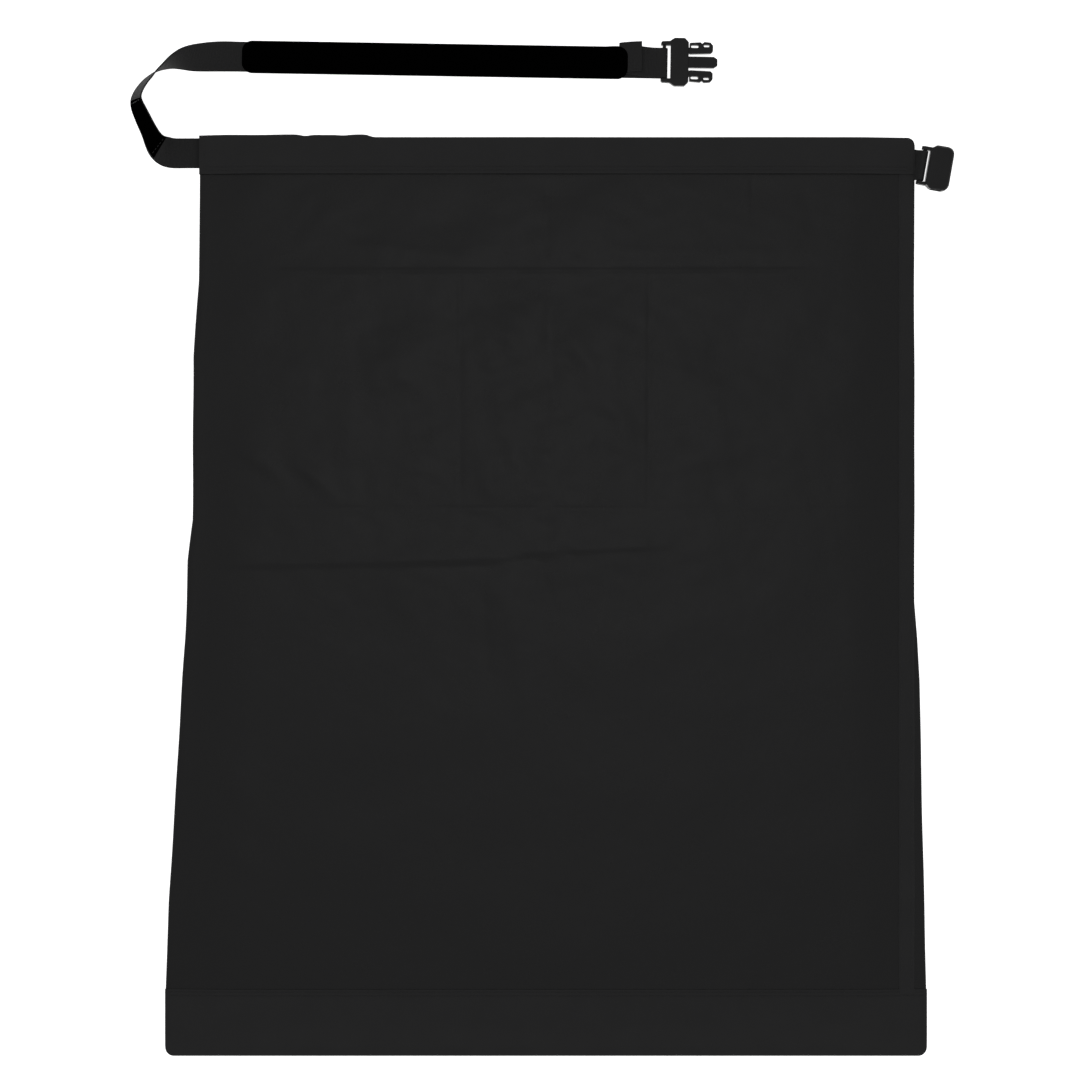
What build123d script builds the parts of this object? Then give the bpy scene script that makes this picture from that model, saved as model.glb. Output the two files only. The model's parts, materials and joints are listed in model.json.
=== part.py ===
"""Roll-top light-tight film bag, lying flat on its back, in millimetres.

The bag is a flat sack of two layers: an outer shell and a light-proof liner, closed by a seam fold on
the left, a seam tape on the right and a wide band at the bottom. Its mouth ends in a stiffened hem that
rolls down over three turns. A 25 mm webbing runs through the hem. It leaves the hem's left end as the
closing strap, which carries the plug half of a side-release buckle, and a short tab on the hem's right
end holds the socket half.

Frame: +X across the bag, +Y from the bottom band to the mouth, +Z up from the surface it lies on.
The origin is the middle of the back panel's lower face.
"""

import os
from math import atan2, cos, degrees, radians, sin, sqrt

from build123d import *

# ---------------------------------------------------------------- driving dimensions
# The flat bag.
BAG_HEIGHT = 765.0
BOTTOM_WIDTH = 633.4
TOP_LEFT = -288.3
TOP_RIGHT = 306.7
LEFT_WAIST = (-291.7, 80.0)  # the left edge flares out from here down
RIGHT_WAIST_Y = 0.0  # and the right edge from here
FLARE_END_Y = -328.0
CORNER_RADIUS = 7.0
BAG_THICKNESS = 8.4  # both walls with the slack between them
OUTER_CLOTH = 0.7
LINER_CLOTH = 0.5
BOTTOM_BAND = 56.0
BOTTOM_SEAM_WIDTH = 2.0
RIGHT_TAPE = 14.0
LEFT_SEAM = 6.0
SIDE_WALL = 1.2
LINER_INSET = 3.0

# The hem and the turns of the roll.
HEM_HEIGHT = 31.0
TURN_B = 37.5  # the turn next to the hem
TURN_A = 43.0  # the outermost turn
FOLD_GAP = 1.0  # free cloth between two neighbouring turns
ROLL_SLACK = 0.6  # air between the layers once rolled
HEM_THICKNESS = 9.5
FACING_CLOTH = 0.5
STIFFENER = 0.8
STIFFENER_INSET = (12.0, 4.0, 3.0)  # from the hem's ends, its lower edge and its upper edge

# The webbing and the closing strap.
WEBBING = 25.0
WEBBING_CLOTH = 1.3
WEBBING_INSET = 0.8  # from the hem's upper edge
STRAP_LIFT = 0.8  # the strap's run lies this far above the surface, inside its cover
RUN_START = (-255.0, 449.6)
RUN_END = (98.3, 443.8)
COVER_START = 1.7  # along the run
COVER_LENGTH = 321.7
COVER_WIDTH = 27.0
COVER_PLAY = 0.1
TAIL_LENGTH = 28.5
TAIL_SLOPE = 10.0  # the tail comes down from the loop over this length
LABEL_CLOTH = 0.8
LABEL_WIDTH = 20.0
SEWN_GAP = 0.05

# The side-release buckle. Both halves have their own plan axes: u from the bar towards the other
# half, and v across.
BAR_RADIUS = 1.5
LOOP_CLEARANCE = 0.2
PLUG_HEIGHT = 6.8
PLUG_OFFSET = 1.0  # the plug sits this much to one side of the strap's middle
PLUG_BACK, PLUG_FRONT = -2.8, 20.2
PLUG_SLOT = (5.2, 13.8)  # end in u, half width in v
GUIDE_END, GUIDE_HALF_WIDTH, GUIDE_HEIGHT = 44.2, 4.6, 4.4
ARM_ROOT = (20.0, 9.5)
ARM_ROOT_RADIUS = 2.6
ARM_CLEARANCE = 0.25
ARM_HEIGHT = 4.8
SOCKET_HEIGHT = 11.4
SOCKET_TURN = -10.0  # the socket half lies turned this much from +X, in degrees
SOCKET_Y = 359.5  # where its tab leaves the hem
TAB_REACH = 6.5  # from the hem's end to the bar
TAB_GAP = 0.4
TAB_WRAP = 1.3
RAIL_HEIGHT = 6.4
RAIL_HALF_WIDTH, RAIL_SLOT_HALF_WIDTH = 16.0, 13.2
HOUSING_START, HOUSING_END = 4.2, 24.0
CAVITY_START, CAVITY_HALF_WIDTH, CAVITY_HEIGHT = 6.0, 15.8, 7.2
WINDOW_START, WINDOW_LENGTH = 9.5, 9.5
EDGE_BEVEL = 1.4

# ---------------------------------------------------------------- values that follow
TOP = BAG_HEIGHT / 2
BOTTOM = -BAG_HEIGHT / 2
HEM_LINE = TOP - HEM_HEIGHT
FOLD_B = HEM_LINE - TURN_B
FOLD_A = FOLD_B - TURN_A
BAND_LINE = BOTTOM + BOTTOM_BAND
HALF_BOTTOM = BOTTOM_WIDTH / 2
LEFT_EDGE = [(TOP_LEFT, TOP), LEFT_WAIST, (-HALF_BOTTOM, FLARE_END_Y), (-HALF_BOTTOM, BOTTOM)]
RIGHT_EDGE = [
    (TOP_RIGHT, TOP),
    (TOP_RIGHT, RIGHT_WAIST_Y),
    (HALF_BOTTOM, FLARE_END_Y),
    (HALF_BOTTOM, BOTTOM),
]
HALF_GAP = FOLD_GAP / 2
WIDE = 2 * BOTTOM_WIDTH
BETWEEN_WALLS = BAG_THICKNESS - 2 * OUTER_CLOTH
WEBBING_Y = TOP - WEBBING_INSET - WEBBING / 2

# Hinge heights of the turns: each is half way up the turn below and the stack that folds on to it.
HINGE_HEM = (BAG_THICKNESS + HEM_THICKNESS + ROLL_SLACK) / 2
HINGE_B = (BAG_THICKNESS + 2 * HINGE_HEM + ROLL_SLACK) / 2
HINGE_A = (BAG_THICKNESS + 2 * HINGE_B + ROLL_SLACK) / 2

LOOP_INNER = BAR_RADIUS + LOOP_CLEARANCE
LOOP_OUTER = LOOP_INNER + WEBBING_CLOTH
PLUG_BAR_Z = STRAP_LIFT + LOOP_OUTER
SOCKET_BAR_Z = SOCKET_HEIGHT / 2
RUN_ANGLE = degrees(atan2(RUN_END[1] - RUN_START[1], RUN_END[0] - RUN_START[0]))
UP = Vector(0, 0, 1)

os.makedirs("parts", exist_ok=True)


def save(part, name):
    """Labels one finished piece and writes it under that name."""
    part.label = name
    export_step(part, f"parts/{name}.step")


# ---------------------------------------------------------------- flat layers of the bag
def shifted(edge, inset):
    """One side edge of the bag, moved in x."""
    return [(x + inset, y) for x, y in edge]


def cloth(name, z, thickness, y_span, left_inset, right_inset, rounded=None):
    """A flat layer from height z up, cut to a span of y and pulled in from both side edges."""
    outline = shifted(LEFT_EDGE, left_inset) + shifted(RIGHT_EDGE, -right_inset)[::-1]
    with BuildPart() as layer:
        with BuildSketch(Plane.XY.offset(z)) as face:
            with BuildLine():
                Polyline(*outline, close=True)
            make_face()
            with Locations((0, sum(y_span) / 2)):
                Rectangle(WIDE, y_span[1] - y_span[0], mode=Mode.INTERSECT)
            if rounded == "bottom":
                fillet(face.vertices().group_by(Axis.Y)[0], CORNER_RADIUS)
            if rounded == "top right":
                fillet(face.vertices().group_by(Axis.Y)[-1].sort_by(Axis.X)[-1], CORNER_RADIUS)
        extrude(amount=thickness)
    save(layer.part, name)


def side_strip(edge, z, height, y_span, outer_inset, inner_inset, mode=Mode.ADD):
    """A bar that follows one side edge of the bag, between two insets from it."""
    with BuildSketch(Plane.XY.offset(z), mode=Mode.PRIVATE) as face:
        with BuildLine():
            Polyline(*shifted(edge, outer_inset), *shifted(edge, inner_inset)[::-1], close=True)
        make_face()
        with Locations((0, sum(y_span) / 2)):
            Rectangle(WIDE, y_span[1] - y_span[0], mode=Mode.INTERSECT)
    extrude(face.sketch, amount=height, mode=mode)


def side_channel(name, edge, inward, flange, y_span, wall_from):
    """A folded strip along one side: a front and a back flange joined by a wall at the very edge.

    inward is +1 on the left edge and -1 on the right one. The wall alone runs on down to wall_from.
    """
    hollow = (inward * SIDE_WALL, inward * (flange + 1))
    with BuildPart() as channel:
        side_strip(edge, 0, BAG_THICKNESS, y_span, 0, inward * flange)
        side_strip(edge, OUTER_CLOTH, BETWEEN_WALLS, y_span, *hollow, Mode.SUBTRACT)
        if wall_from < y_span[0]:
            side_strip(edge, OUTER_CLOTH, BETWEEN_WALLS, (wall_from, y_span[0]), 0, hollow[0])
    save(channel.part, name)


# The flat bag, and the two turns of cloth between it and the hem, are built alike.
segments = {
    "": (BAND_LINE, FOLD_A - HALF_GAP, BOTTOM + BOTTOM_SEAM_WIDTH, BOTTOM + CORNER_RADIUS),
    "_turn_a": (FOLD_A + HALF_GAP, FOLD_B - HALF_GAP, FOLD_A + HALF_GAP, FOLD_A + HALF_GAP),
    "_turn_b": (FOLD_B + HALF_GAP, HEM_LINE - HALF_GAP, FOLD_B + HALF_GAP, FOLD_B + HALF_GAP),
}
for ending, (low, high, liner_low, wall_low) in segments.items():
    front_z = BAG_THICKNESS - OUTER_CLOTH
    cloth("back_panel" + ending, 0, OUTER_CLOTH, (low, high), LEFT_SEAM, RIGHT_TAPE)
    cloth("front_panel" + ending, front_z, OUTER_CLOTH, (low, high), LEFT_SEAM, RIGHT_TAPE)
    for side, z in (("back", OUTER_CLOTH), ("front", front_z - LINER_CLOTH)):
        cloth(f"{side}_liner{ending}", z, LINER_CLOTH, (liner_low, high), LINER_INSET, LINER_INSET)
    side_channel("left_seam_fold" + ending, LEFT_EDGE, 1, LEFT_SEAM, (low, high), wall_low)
    side_channel("right_seam_tape" + ending, RIGHT_EDGE, -1, RIGHT_TAPE, (low, high), wall_low)

for side, z in (("back", 0), ("front", BAG_THICKNESS - OUTER_CLOTH)):
    cloth(f"bottom_band_{side}", z, OUTER_CLOTH, (BOTTOM, BAND_LINE), 0, 0, "bottom")

with BuildPart() as bottom_seam:
    with BuildSketch(Plane.XY.offset(OUTER_CLOTH)):
        with Locations((0, BOTTOM + BOTTOM_SEAM_WIDTH / 2)):
            Rectangle(BOTTOM_WIDTH - 2 * CORNER_RADIUS, BOTTOM_SEAM_WIDTH)
    extrude(amount=BETWEEN_WALLS)
save(bottom_seam.part, "bottom_seam")

# ---------------------------------------------------------------- hem of the mouth
# Layers from the surface up: back, webbing, back facing, the mouth's gap, front facing, stiffener, front.
hem_span = (HEM_LINE + HALF_GAP, TOP)
back_facing_z = OUTER_CLOTH + WEBBING_CLOTH
mouth_low = back_facing_z + FACING_CLOTH
stiffener_z = HEM_THICKNESS - OUTER_CLOTH - STIFFENER
mouth_high = stiffener_z - FACING_CLOTH
cloth("hem_back", 0, OUTER_CLOTH, hem_span, 0, 0, "top right")
cloth("hem_back_facing", back_facing_z, FACING_CLOTH, hem_span, 0, 0, "top right")
cloth("hem_front_facing", mouth_high, FACING_CLOTH, hem_span, 0, 0, "top right")
cloth("hem_front", HEM_THICKNESS - OUTER_CLOTH, OUTER_CLOTH, hem_span, 0, 0, "top right")
end_inset, low_inset, high_inset = STIFFENER_INSET
stiffener_span = (HEM_LINE + low_inset, TOP - high_inset)
cloth("hem_stiffener", stiffener_z, STIFFENER, stiffener_span, end_inset, end_inset)

with BuildPart() as hem_webbing:
    with BuildSketch(Plane.XY.offset(OUTER_CLOTH)):
        with Locations((TOP_LEFT, WEBBING_Y)):
            Rectangle(TOP_RIGHT + TAB_GAP - TOP_LEFT, WEBBING, align=(Align.MIN, Align.CENTER))
    extrude(amount=WEBBING_CLOTH)
save(hem_webbing.part, "hem_webbing")

for side, edge, inward in (("left", LEFT_EDGE, 1), ("right", RIGHT_EDGE, -1)):
    with BuildPart() as hem_seam:
        seam_span = (hem_span[0], TOP - CORNER_RADIUS)
        side_strip(edge, mouth_low, mouth_high - mouth_low, seam_span, 0, inward * SIDE_WALL)
    save(hem_seam.part, f"hem_{side}_seam")

# ---------------------------------------------------------------- closing strap
# Stations of the webbing's middle line: x, y, lean and the height of its lower edge. A lean of 0 is
# flat with its first face up, 90 stands on edge, and 180 is flat again with its other face up.
# The strap swings at the gap between the near and the far stations.
NEAR_STATIONS = [
    (TOP_LEFT, WEBBING_Y, 0, OUTER_CLOTH),
    (-300.0, WEBBING_Y, 0, 0.6),
    (-312.5, 371.2, 12, 0.3),
    (-321.8, 377.0, 30, 0),
    (-330.2, 387.6, 47, 0),
    (-336.6, 401.0, 58, 0),
    (-337.6, 412.6, 67, 0),
    (-334.0, 422.6, 77, 0),
    (-324.9, 433.2, 89, 0),
]
FAR_STATIONS = [
    (-323.8, 434.3, 91, 0),
    (-314.6, 441.4, 112, 0),
    (-305.0, 445.9, 130, 0),
    (-291.0, 448.9, 160, 0.1),
    (-275.0, 449.9, 174, 0.5),
    (*RUN_START, 180, STRAP_LIFT),
]
LABEL_STATIONS = (3, 8)  # the label lies on the near stations from the first to before the second

run_heading = Vector(1, 0, 0).rotate(Axis.Z, RUN_ANGLE)
run_length = (Vector(*RUN_END) - Vector(*RUN_START)).length


def headings(stations):
    """The webbing's direction at each station: that of the chord from the one before to the one after."""
    before = [stations[0], *stations[:-1]]
    after = [*stations[1:], stations[-1]]
    return [Vector(b[0] - a[0], b[1] - a[1], 0).normalized() for a, b in zip(before, after)]


def webbing_section(station, heading, width, thickness, outward=0.0):
    """The webbing's rectangle at one station, square to its heading."""
    x, y, lean, lift = station
    width_share = abs(sin(radians(lean)))
    half_height = (WEBBING * width_share + WEBBING_CLOTH * abs(cos(radians(lean)))) / 2
    across = Vector(heading.Y, -heading.X, 0) * cos(radians(lean)) + UP * sin(radians(lean))
    middle = Vector(x, y, lift + half_height) + across.cross(heading) * outward
    with BuildSketch(Plane(origin=middle, x_dir=across, z_dir=heading), mode=Mode.PRIVATE) as section:
        Rectangle(width, thickness)
    return section.sketch


near_headings = headings(NEAR_STATIONS)
far_headings = headings(FAR_STATIONS)
far_headings[-1] = run_heading

with BuildPart() as strap_near:
    near_sections = [
        webbing_section(station, heading, WEBBING, WEBBING_CLOTH)
        for station, heading in zip(NEAR_STATIONS, near_headings)
    ]
    loft(near_sections, ruled=True)
save(strap_near.part, "strap_near")

with BuildPart() as strap_label:
    label_offset = (WEBBING_CLOTH + LABEL_CLOTH) / 2 + SEWN_GAP
    label_sections = [
        webbing_section(NEAR_STATIONS[i], near_headings[i], LABEL_WIDTH, LABEL_CLOTH, label_offset)
        for i in range(*LABEL_STATIONS)
    ]
    loft(label_sections, ruled=True)
save(strap_label.part, "strap_label")

run_plane = Plane(origin=(*RUN_START, STRAP_LIFT), x_dir=run_heading, z_dir=UP)
with BuildPart() as strap_run:
    far_sections = [
        webbing_section(station, heading, WEBBING, WEBBING_CLOTH)
        for station, heading in zip(FAR_STATIONS, far_headings)
    ]
    loft(far_sections, ruled=True)
    with BuildSketch(run_plane):
        Rectangle(run_length, WEBBING, align=(Align.MIN, Align.CENTER))
    extrude(amount=WEBBING_CLOTH)
save(strap_run.part, "strap_run")

with BuildPart() as strap_cover:
    with BuildSketch(run_plane.offset(-STRAP_LIFT)) as cover_face:
        with Locations((COVER_START, 0)):
            Rectangle(COVER_LENGTH, COVER_WIDTH, align=(Align.MIN, Align.CENTER))
        fillet(cover_face.vertices(), CORNER_RADIUS)
    extrude(amount=2 * STRAP_LIFT + WEBBING_CLOTH)
    with BuildSketch(run_plane.offset(-COVER_PLAY)):
        Rectangle(run_length, WEBBING + 4 * COVER_PLAY, align=(Align.MIN, Align.CENTER))
    extrude(amount=WEBBING_CLOTH + 2 * COVER_PLAY, mode=Mode.SUBTRACT)
save(strap_cover.part, "strap_cover")

# Side view of the loop round the plug's bar, and of the tail that comes back to lie on the strap.
loop_plane = Plane(origin=(*RUN_END, PLUG_BAR_Z), x_dir=run_heading, z_dir=run_heading.cross(UP))
tail_low = STRAP_LIFT + WEBBING_CLOTH + SEWN_GAP - PLUG_BAR_Z
tail_high = tail_low + WEBBING_CLOTH
with BuildPart() as strap_end_loop:
    with BuildSketch(loop_plane.offset(-WEBBING / 2)):
        Circle(LOOP_OUTER)
        Circle(LOOP_INNER, mode=Mode.SUBTRACT)
        Rectangle(
            2 * LOOP_OUTER, 2 * LOOP_OUTER, align=(Align.MAX, Align.CENTER), mode=Mode.SUBTRACT
        )
        with BuildLine():
            Polyline(
                (0, LOOP_INNER),
                (0, LOOP_OUTER),
                (-TAIL_SLOPE, tail_high),
                (-TAIL_LENGTH, tail_high),
                (-TAIL_LENGTH, tail_low),
                (-TAIL_SLOPE, tail_low),
                close=True,
            )
        make_face()
    extrude(amount=WEBBING)
save(strap_end_loop.part, "strap_end_loop")

# ---------------------------------------------------------------- plug half of the buckle
plug_side = run_heading.cross(UP) * -PLUG_OFFSET
plug_middle = Vector(*RUN_END) + plug_side
plug_plane = Plane(origin=plug_middle, x_dir=run_heading, z_dir=UP)
plug_side_plane = Plane(
    origin=plug_middle + UP * PLUG_BAR_Z, x_dir=run_heading, z_dir=run_heading.cross(UP)
)


def both_sides(points):
    """A half outline with its mirror image across u, in order round the shape."""
    return points + [(u, -v) for u, v in points[::-1]]


with BuildPart() as plug_body:
    with BuildSketch(plug_plane.offset(PLUG_BAR_Z - PLUG_HEIGHT / 2)) as plug_face:
        with BuildLine():
            half = [(PLUG_BACK, 17.0), (4.6, 17.4), (8.4, 20.0), (17.0, 20.0), (PLUG_FRONT, 16.6)]
            Polyline(*both_sides(half), close=True)
        make_face()
        fillet(plug_face.vertices(), 1.6)
        slot_end, slot_half_width = PLUG_SLOT
        Rectangle(2 * slot_end, 2 * slot_half_width, mode=Mode.SUBTRACT)
    extrude(amount=PLUG_HEIGHT)
    fillet(plug_body.edges().group_by(Axis.Z)[-1], 1.0)
    fillet(plug_body.edges().group_by(Axis.Z)[0], 1.0)
    with BuildSketch(plug_plane.offset(PLUG_BAR_Z - GUIDE_HEIGHT / 2)):
        with BuildLine():
            half = [(PLUG_FRONT - 1, GUIDE_HALF_WIDTH), (GUIDE_END - 3, GUIDE_HALF_WIDTH)]
            half.append((GUIDE_END, GUIDE_HALF_WIDTH - 2))
            Polyline(*both_sides(half), close=True)
        make_face()
    extrude(amount=GUIDE_HEIGHT)
    with BuildSketch(plug_side_plane.offset(-PLUG_SLOT[1] - 1)):
        Circle(BAR_RADIUS)
    extrude(amount=2 * PLUG_SLOT[1] + 2)
    with BuildSketch(plug_plane.offset(PLUG_BAR_Z - ARM_HEIGHT / 2 - ARM_CLEARANCE)):
        with Locations(ARM_ROOT, (ARM_ROOT[0], -ARM_ROOT[1])):
            Circle(ARM_ROOT_RADIUS + ARM_CLEARANCE)
    extrude(amount=ARM_HEIGHT + 2 * ARM_CLEARANCE, mode=Mode.SUBTRACT)
save(plug_body.part, "plug_body")


def plug_arm(name, side):
    """One springy arm: a round root held in the body, and a pierced paddle with a notched outer edge."""
    root_u, root_v = ARM_ROOT
    start = root_u + 1.0
    outline = [
        (start, 6.8),
        (start, 16.0),
        (30.0, 16.6),
        (31.4, 15.2),
        (33.0, 16.9),
        (38.2, 16.5),
        (40.4, 14.0),
        (40.4, 9.2),
        (38.6, 7.4),
    ]
    with BuildPart() as arm:
        with BuildSketch(plug_plane.offset(PLUG_BAR_Z - ARM_HEIGHT / 2)) as arm_face:
            with BuildLine():
                Polyline(*[(u, side * v) for u, v in outline], close=True)
            make_face()
            fillet(arm_face.vertices(), 0.7)
            with Locations((root_u, side * root_v)):
                Circle(ARM_ROOT_RADIUS)
            with Locations((start, side * root_v)):
                Rectangle(2.0, 4.2)
            with Locations((25.2, side * 13.0)):
                SlotOverall(6.4, 2.4, mode=Mode.SUBTRACT)
            with Locations((35.0, side * 13.6)):
                SlotOverall(4.8, 2.0, mode=Mode.SUBTRACT)
        extrude(amount=ARM_HEIGHT)
    save(arm.part, name)


plug_arm("plug_arm_upper", 1)
plug_arm("plug_arm_lower", -1)

# ---------------------------------------------------------------- socket half and its tab
socket_heading = Vector(1, 0, 0).rotate(Axis.Z, SOCKET_TURN)
socket_bar = Vector(TOP_RIGHT, SOCKET_Y, 0) + socket_heading * TAB_REACH
socket_plane = Plane(origin=socket_bar, x_dir=socket_heading, z_dir=UP)
socket_side_plane = Plane(
    origin=socket_bar + UP * SOCKET_BAR_Z, x_dir=socket_heading, z_dir=socket_heading.cross(UP)
)

with BuildPart() as socket_half:
    with BuildSketch(socket_plane):
        for side in (1, -1):
            with BuildLine():
                shoulder = Spline(
                    (HOUSING_START, side * (RAIL_HALF_WIDTH - 0.6)),
                    (9.6, side * 18.3),
                    tangents=[(1, side * 0.1), (1, side * 0.1)],
                )
                side_line = Line(shoulder @ 1, (17.0, side * 18.4))
                corner = Spline(
                    side_line @ 1, (HOUSING_END, side * 12.5), tangents=[(1, 0), (0.1, side * -1)]
                )
                mouth = Line(corner @ 1, (HOUSING_END, side * -1))
                back = Line(mouth @ 1, (HOUSING_START, side * -1))
                Line(back @ 1, shoulder @ 0)
            make_face()
    extrude(amount=SOCKET_HEIGHT)
    chamfer(socket_half.edges().group_by(Axis.Z)[-1], EDGE_BEVEL)
    chamfer(socket_half.edges().group_by(Axis.Z)[0], EDGE_BEVEL)
    with BuildSketch(socket_side_plane.offset(-RAIL_HALF_WIDTH)):
        Circle(RAIL_HEIGHT / 2)
        Rectangle(HOUSING_START + 1, RAIL_HEIGHT, align=(Align.MIN, Align.CENTER))
    extrude(amount=2 * RAIL_HALF_WIDTH)
    with BuildSketch(socket_plane):
        with Locations((-RAIL_HEIGHT, 0)):
            Rectangle(
                RAIL_HEIGHT + HOUSING_START, 2 * RAIL_SLOT_HALF_WIDTH, align=(Align.MIN, Align.CENTER)
            )
    extrude(amount=SOCKET_HEIGHT, mode=Mode.SUBTRACT)
    with BuildSketch(socket_plane.offset(SOCKET_BAR_Z - CAVITY_HEIGHT / 2)):
        with Locations((CAVITY_START, 0)):
            Rectangle(HOUSING_END, 2 * CAVITY_HALF_WIDTH, align=(Align.MIN, Align.CENTER))
        with Locations((WINDOW_START, 0)):
            Rectangle(WINDOW_LENGTH, 4 * CAVITY_HALF_WIDTH, align=(Align.MIN, Align.CENTER))
    extrude(amount=CAVITY_HEIGHT, mode=Mode.SUBTRACT)
    with BuildSketch(socket_side_plane.offset(-RAIL_SLOT_HALF_WIDTH - 1)):
        Circle(BAR_RADIUS)
    extrude(amount=2 * RAIL_SLOT_HALF_WIDTH + 2)
save(socket_half.part, "socket_half")

# The tab is a loop of webbing: its two legs leave the hem's end one on the other, and part to pass
# round the bar. The upper leg stays on the bar a little further round than the lower one.
leg_low = OUTER_CLOTH - SOCKET_BAR_Z
tab_root = -2 * TAB_REACH
wrap_inner = sqrt(LOOP_INNER**2 - TAB_WRAP**2)
wrap_outer = sqrt(LOOP_OUTER**2 - TAB_WRAP**2)
tab_legs = [
    ((0, -LOOP_OUTER), (0, -LOOP_INNER), leg_low),
    ((-TAB_WRAP, wrap_inner), (-TAB_WRAP, wrap_outer), leg_low + WEBBING_CLOTH),
]
with BuildPart() as socket_tab:
    with BuildSketch(socket_side_plane.offset(-WEBBING / 2)):
        Circle(LOOP_OUTER)
        Circle(LOOP_INNER, mode=Mode.SUBTRACT)
        with Locations((-TAB_WRAP, 0)):
            Rectangle(
                LOOP_OUTER, 2 * LOOP_OUTER, align=(Align.MAX, Align.CENTER), mode=Mode.SUBTRACT
            )
        for low_start, high_start, end_z in tab_legs:
            with BuildLine():
                Polyline(
                    low_start,
                    high_start,
                    (-TAB_REACH, end_z + WEBBING_CLOTH),
                    (tab_root, end_z + WEBBING_CLOTH),
                    (tab_root, end_z),
                    (-TAB_REACH, end_z),
                    close=True,
                )
            make_face()
    extrude(amount=WEBBING)
    split(bisect_by=Plane(origin=(TOP_RIGHT + TAB_GAP, 0, 0), x_dir=(0, 1, 0), z_dir=(1, 0, 0)))
save(socket_tab.part, "socket_tab")

# ---------------------------------------------------------------- numbers for the joints
for label, line, height in (
    ("hem", HEM_LINE, HINGE_HEM),
    ("turn b", FOLD_B, HINGE_B),
    ("turn a", FOLD_A, HINGE_A),
):
    print(f"fold line of {label}: y {line:.2f}, z {height:.2f}")
print(f"plug bar: {plug_middle.X:.3f} {plug_middle.Y:.3f} {PLUG_BAR_Z:.3f}, along {RUN_ANGLE:.4f} degrees")
for side in (1, -1):
    root = plug_plane.from_local_coords((ARM_ROOT[0], side * ARM_ROOT[1], 0))
    print(f"arm root: {root.X:.3f} {root.Y:.3f}")
print(f"socket bar: {socket_bar.X:.3f} {socket_bar.Y:.3f} {SOCKET_BAR_Z:.3f}")
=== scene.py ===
"""Roll-top film changing bag: cloth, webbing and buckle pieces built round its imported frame.

All lengths are in metres, in the frame's own axes: +X across the bag, +Y towards its mouth, +Z up.
"""

import json
import math

import bmesh
import bpy
import numpy as np
from bpy.props import FloatProperty, FloatVectorProperty, PointerProperty
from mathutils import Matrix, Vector


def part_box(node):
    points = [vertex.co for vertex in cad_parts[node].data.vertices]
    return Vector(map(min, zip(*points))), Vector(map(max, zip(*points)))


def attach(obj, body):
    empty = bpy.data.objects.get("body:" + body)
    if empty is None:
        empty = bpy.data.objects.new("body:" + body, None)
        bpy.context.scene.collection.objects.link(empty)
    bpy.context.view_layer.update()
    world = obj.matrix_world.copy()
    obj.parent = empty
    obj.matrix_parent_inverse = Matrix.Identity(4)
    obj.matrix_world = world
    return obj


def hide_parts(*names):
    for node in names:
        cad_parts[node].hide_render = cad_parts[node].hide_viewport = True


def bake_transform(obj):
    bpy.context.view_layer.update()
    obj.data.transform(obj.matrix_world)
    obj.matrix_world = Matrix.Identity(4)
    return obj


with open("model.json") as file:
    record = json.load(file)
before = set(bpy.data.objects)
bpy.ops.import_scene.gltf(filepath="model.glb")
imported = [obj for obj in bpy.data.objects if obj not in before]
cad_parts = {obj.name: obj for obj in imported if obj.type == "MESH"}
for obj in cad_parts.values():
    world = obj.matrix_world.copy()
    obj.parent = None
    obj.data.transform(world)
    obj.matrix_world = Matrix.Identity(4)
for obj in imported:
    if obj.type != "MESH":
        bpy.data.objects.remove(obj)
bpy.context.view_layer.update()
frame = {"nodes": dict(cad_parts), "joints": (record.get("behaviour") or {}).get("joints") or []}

bl_info = {
    "name": "Roll-top changing bag",
    "version": (1, 0, 0),
    "blender": (4, 5, 0),
    "location": "View3D > Sidebar > Changing bag",
    "description": "Builds the cloth, webbing and buckle pieces of a roll-top film changing bag",
    "category": "Object",
}

# ---------------------------------------------------------------- what the frame says
MM = 0.001
JOINTS = {joint["name"]: joint for joint in frame["joints"]}


def low(node):
    """The least x, y and z of one of the frame's nodes."""
    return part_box(node)[0]


def high(node):
    """The greatest x, y and z of one of the frame's nodes."""
    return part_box(node)[1]


TOP = high("hem_front").y
HEM_LINE = low("hem_front").y
BOTTOM = low("bottom_band_front").y
BAND_LINE = high("bottom_band_front").y
HALF_BOTTOM = high("bottom_band_front").x
TOP_LEFT = low("hem_webbing").x
TOP_RIGHT = high("hem_front").x
WEBBING_Y = (low("hem_webbing").y + high("hem_webbing").y) / 2
WEBBING = high("hem_webbing").y - low("hem_webbing").y
WEBBING_CLOTH = high("hem_webbing").z - low("hem_webbing").z
FOLD_A = JOINTS["roll_fold_a"]["pos_m"][1]
FOLD_B = JOINTS["roll_fold_b"]["pos_m"][1]
FOLD_HEM = JOINTS["roll_fold_hem"]["pos_m"][1]
MIDDLE_TURN_A = (FOLD_A + FOLD_B) / 2
MIDDLE_TURN_B = (FOLD_B + FOLD_HEM) / 2
TAPE_LEFT = TOP_RIGHT - 13.6 * MM
UP = np.array([0.0, 0.0, 1.0])
TOWARDS_MOUTH = np.array([0.0, 1.0, 0.0])

# Where the side edges turn, as (y, x): they follow the frame's panels to within a few millimetres.
LEFT_CORNERS = [
    (BOTTOM, -HALF_BOTTOM),
    (-0.3280, -HALF_BOTTOM),
    (-0.2530, -0.3142),
    (-0.1700, -0.3087),
    (-0.0360, -0.3010),
    (0.0300, -0.2985),
    (0.0640, -0.2944),
    (0.2000, -0.2938),
    (0.2620, -0.2890),
    (TOP, TOP_LEFT),
]
RIGHT_CORNERS = [
    (BOTTOM, HALF_BOTTOM),
    (-0.3280, HALF_BOTTOM),
    (-0.2530, 0.3150),
    (-0.1360, 0.3124),
    (-0.0700, 0.3113),
    (-0.0360, 0.3094),
    (-0.0030, TOP_RIGHT),
    (TOP, TOP_RIGHT),
]


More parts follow.
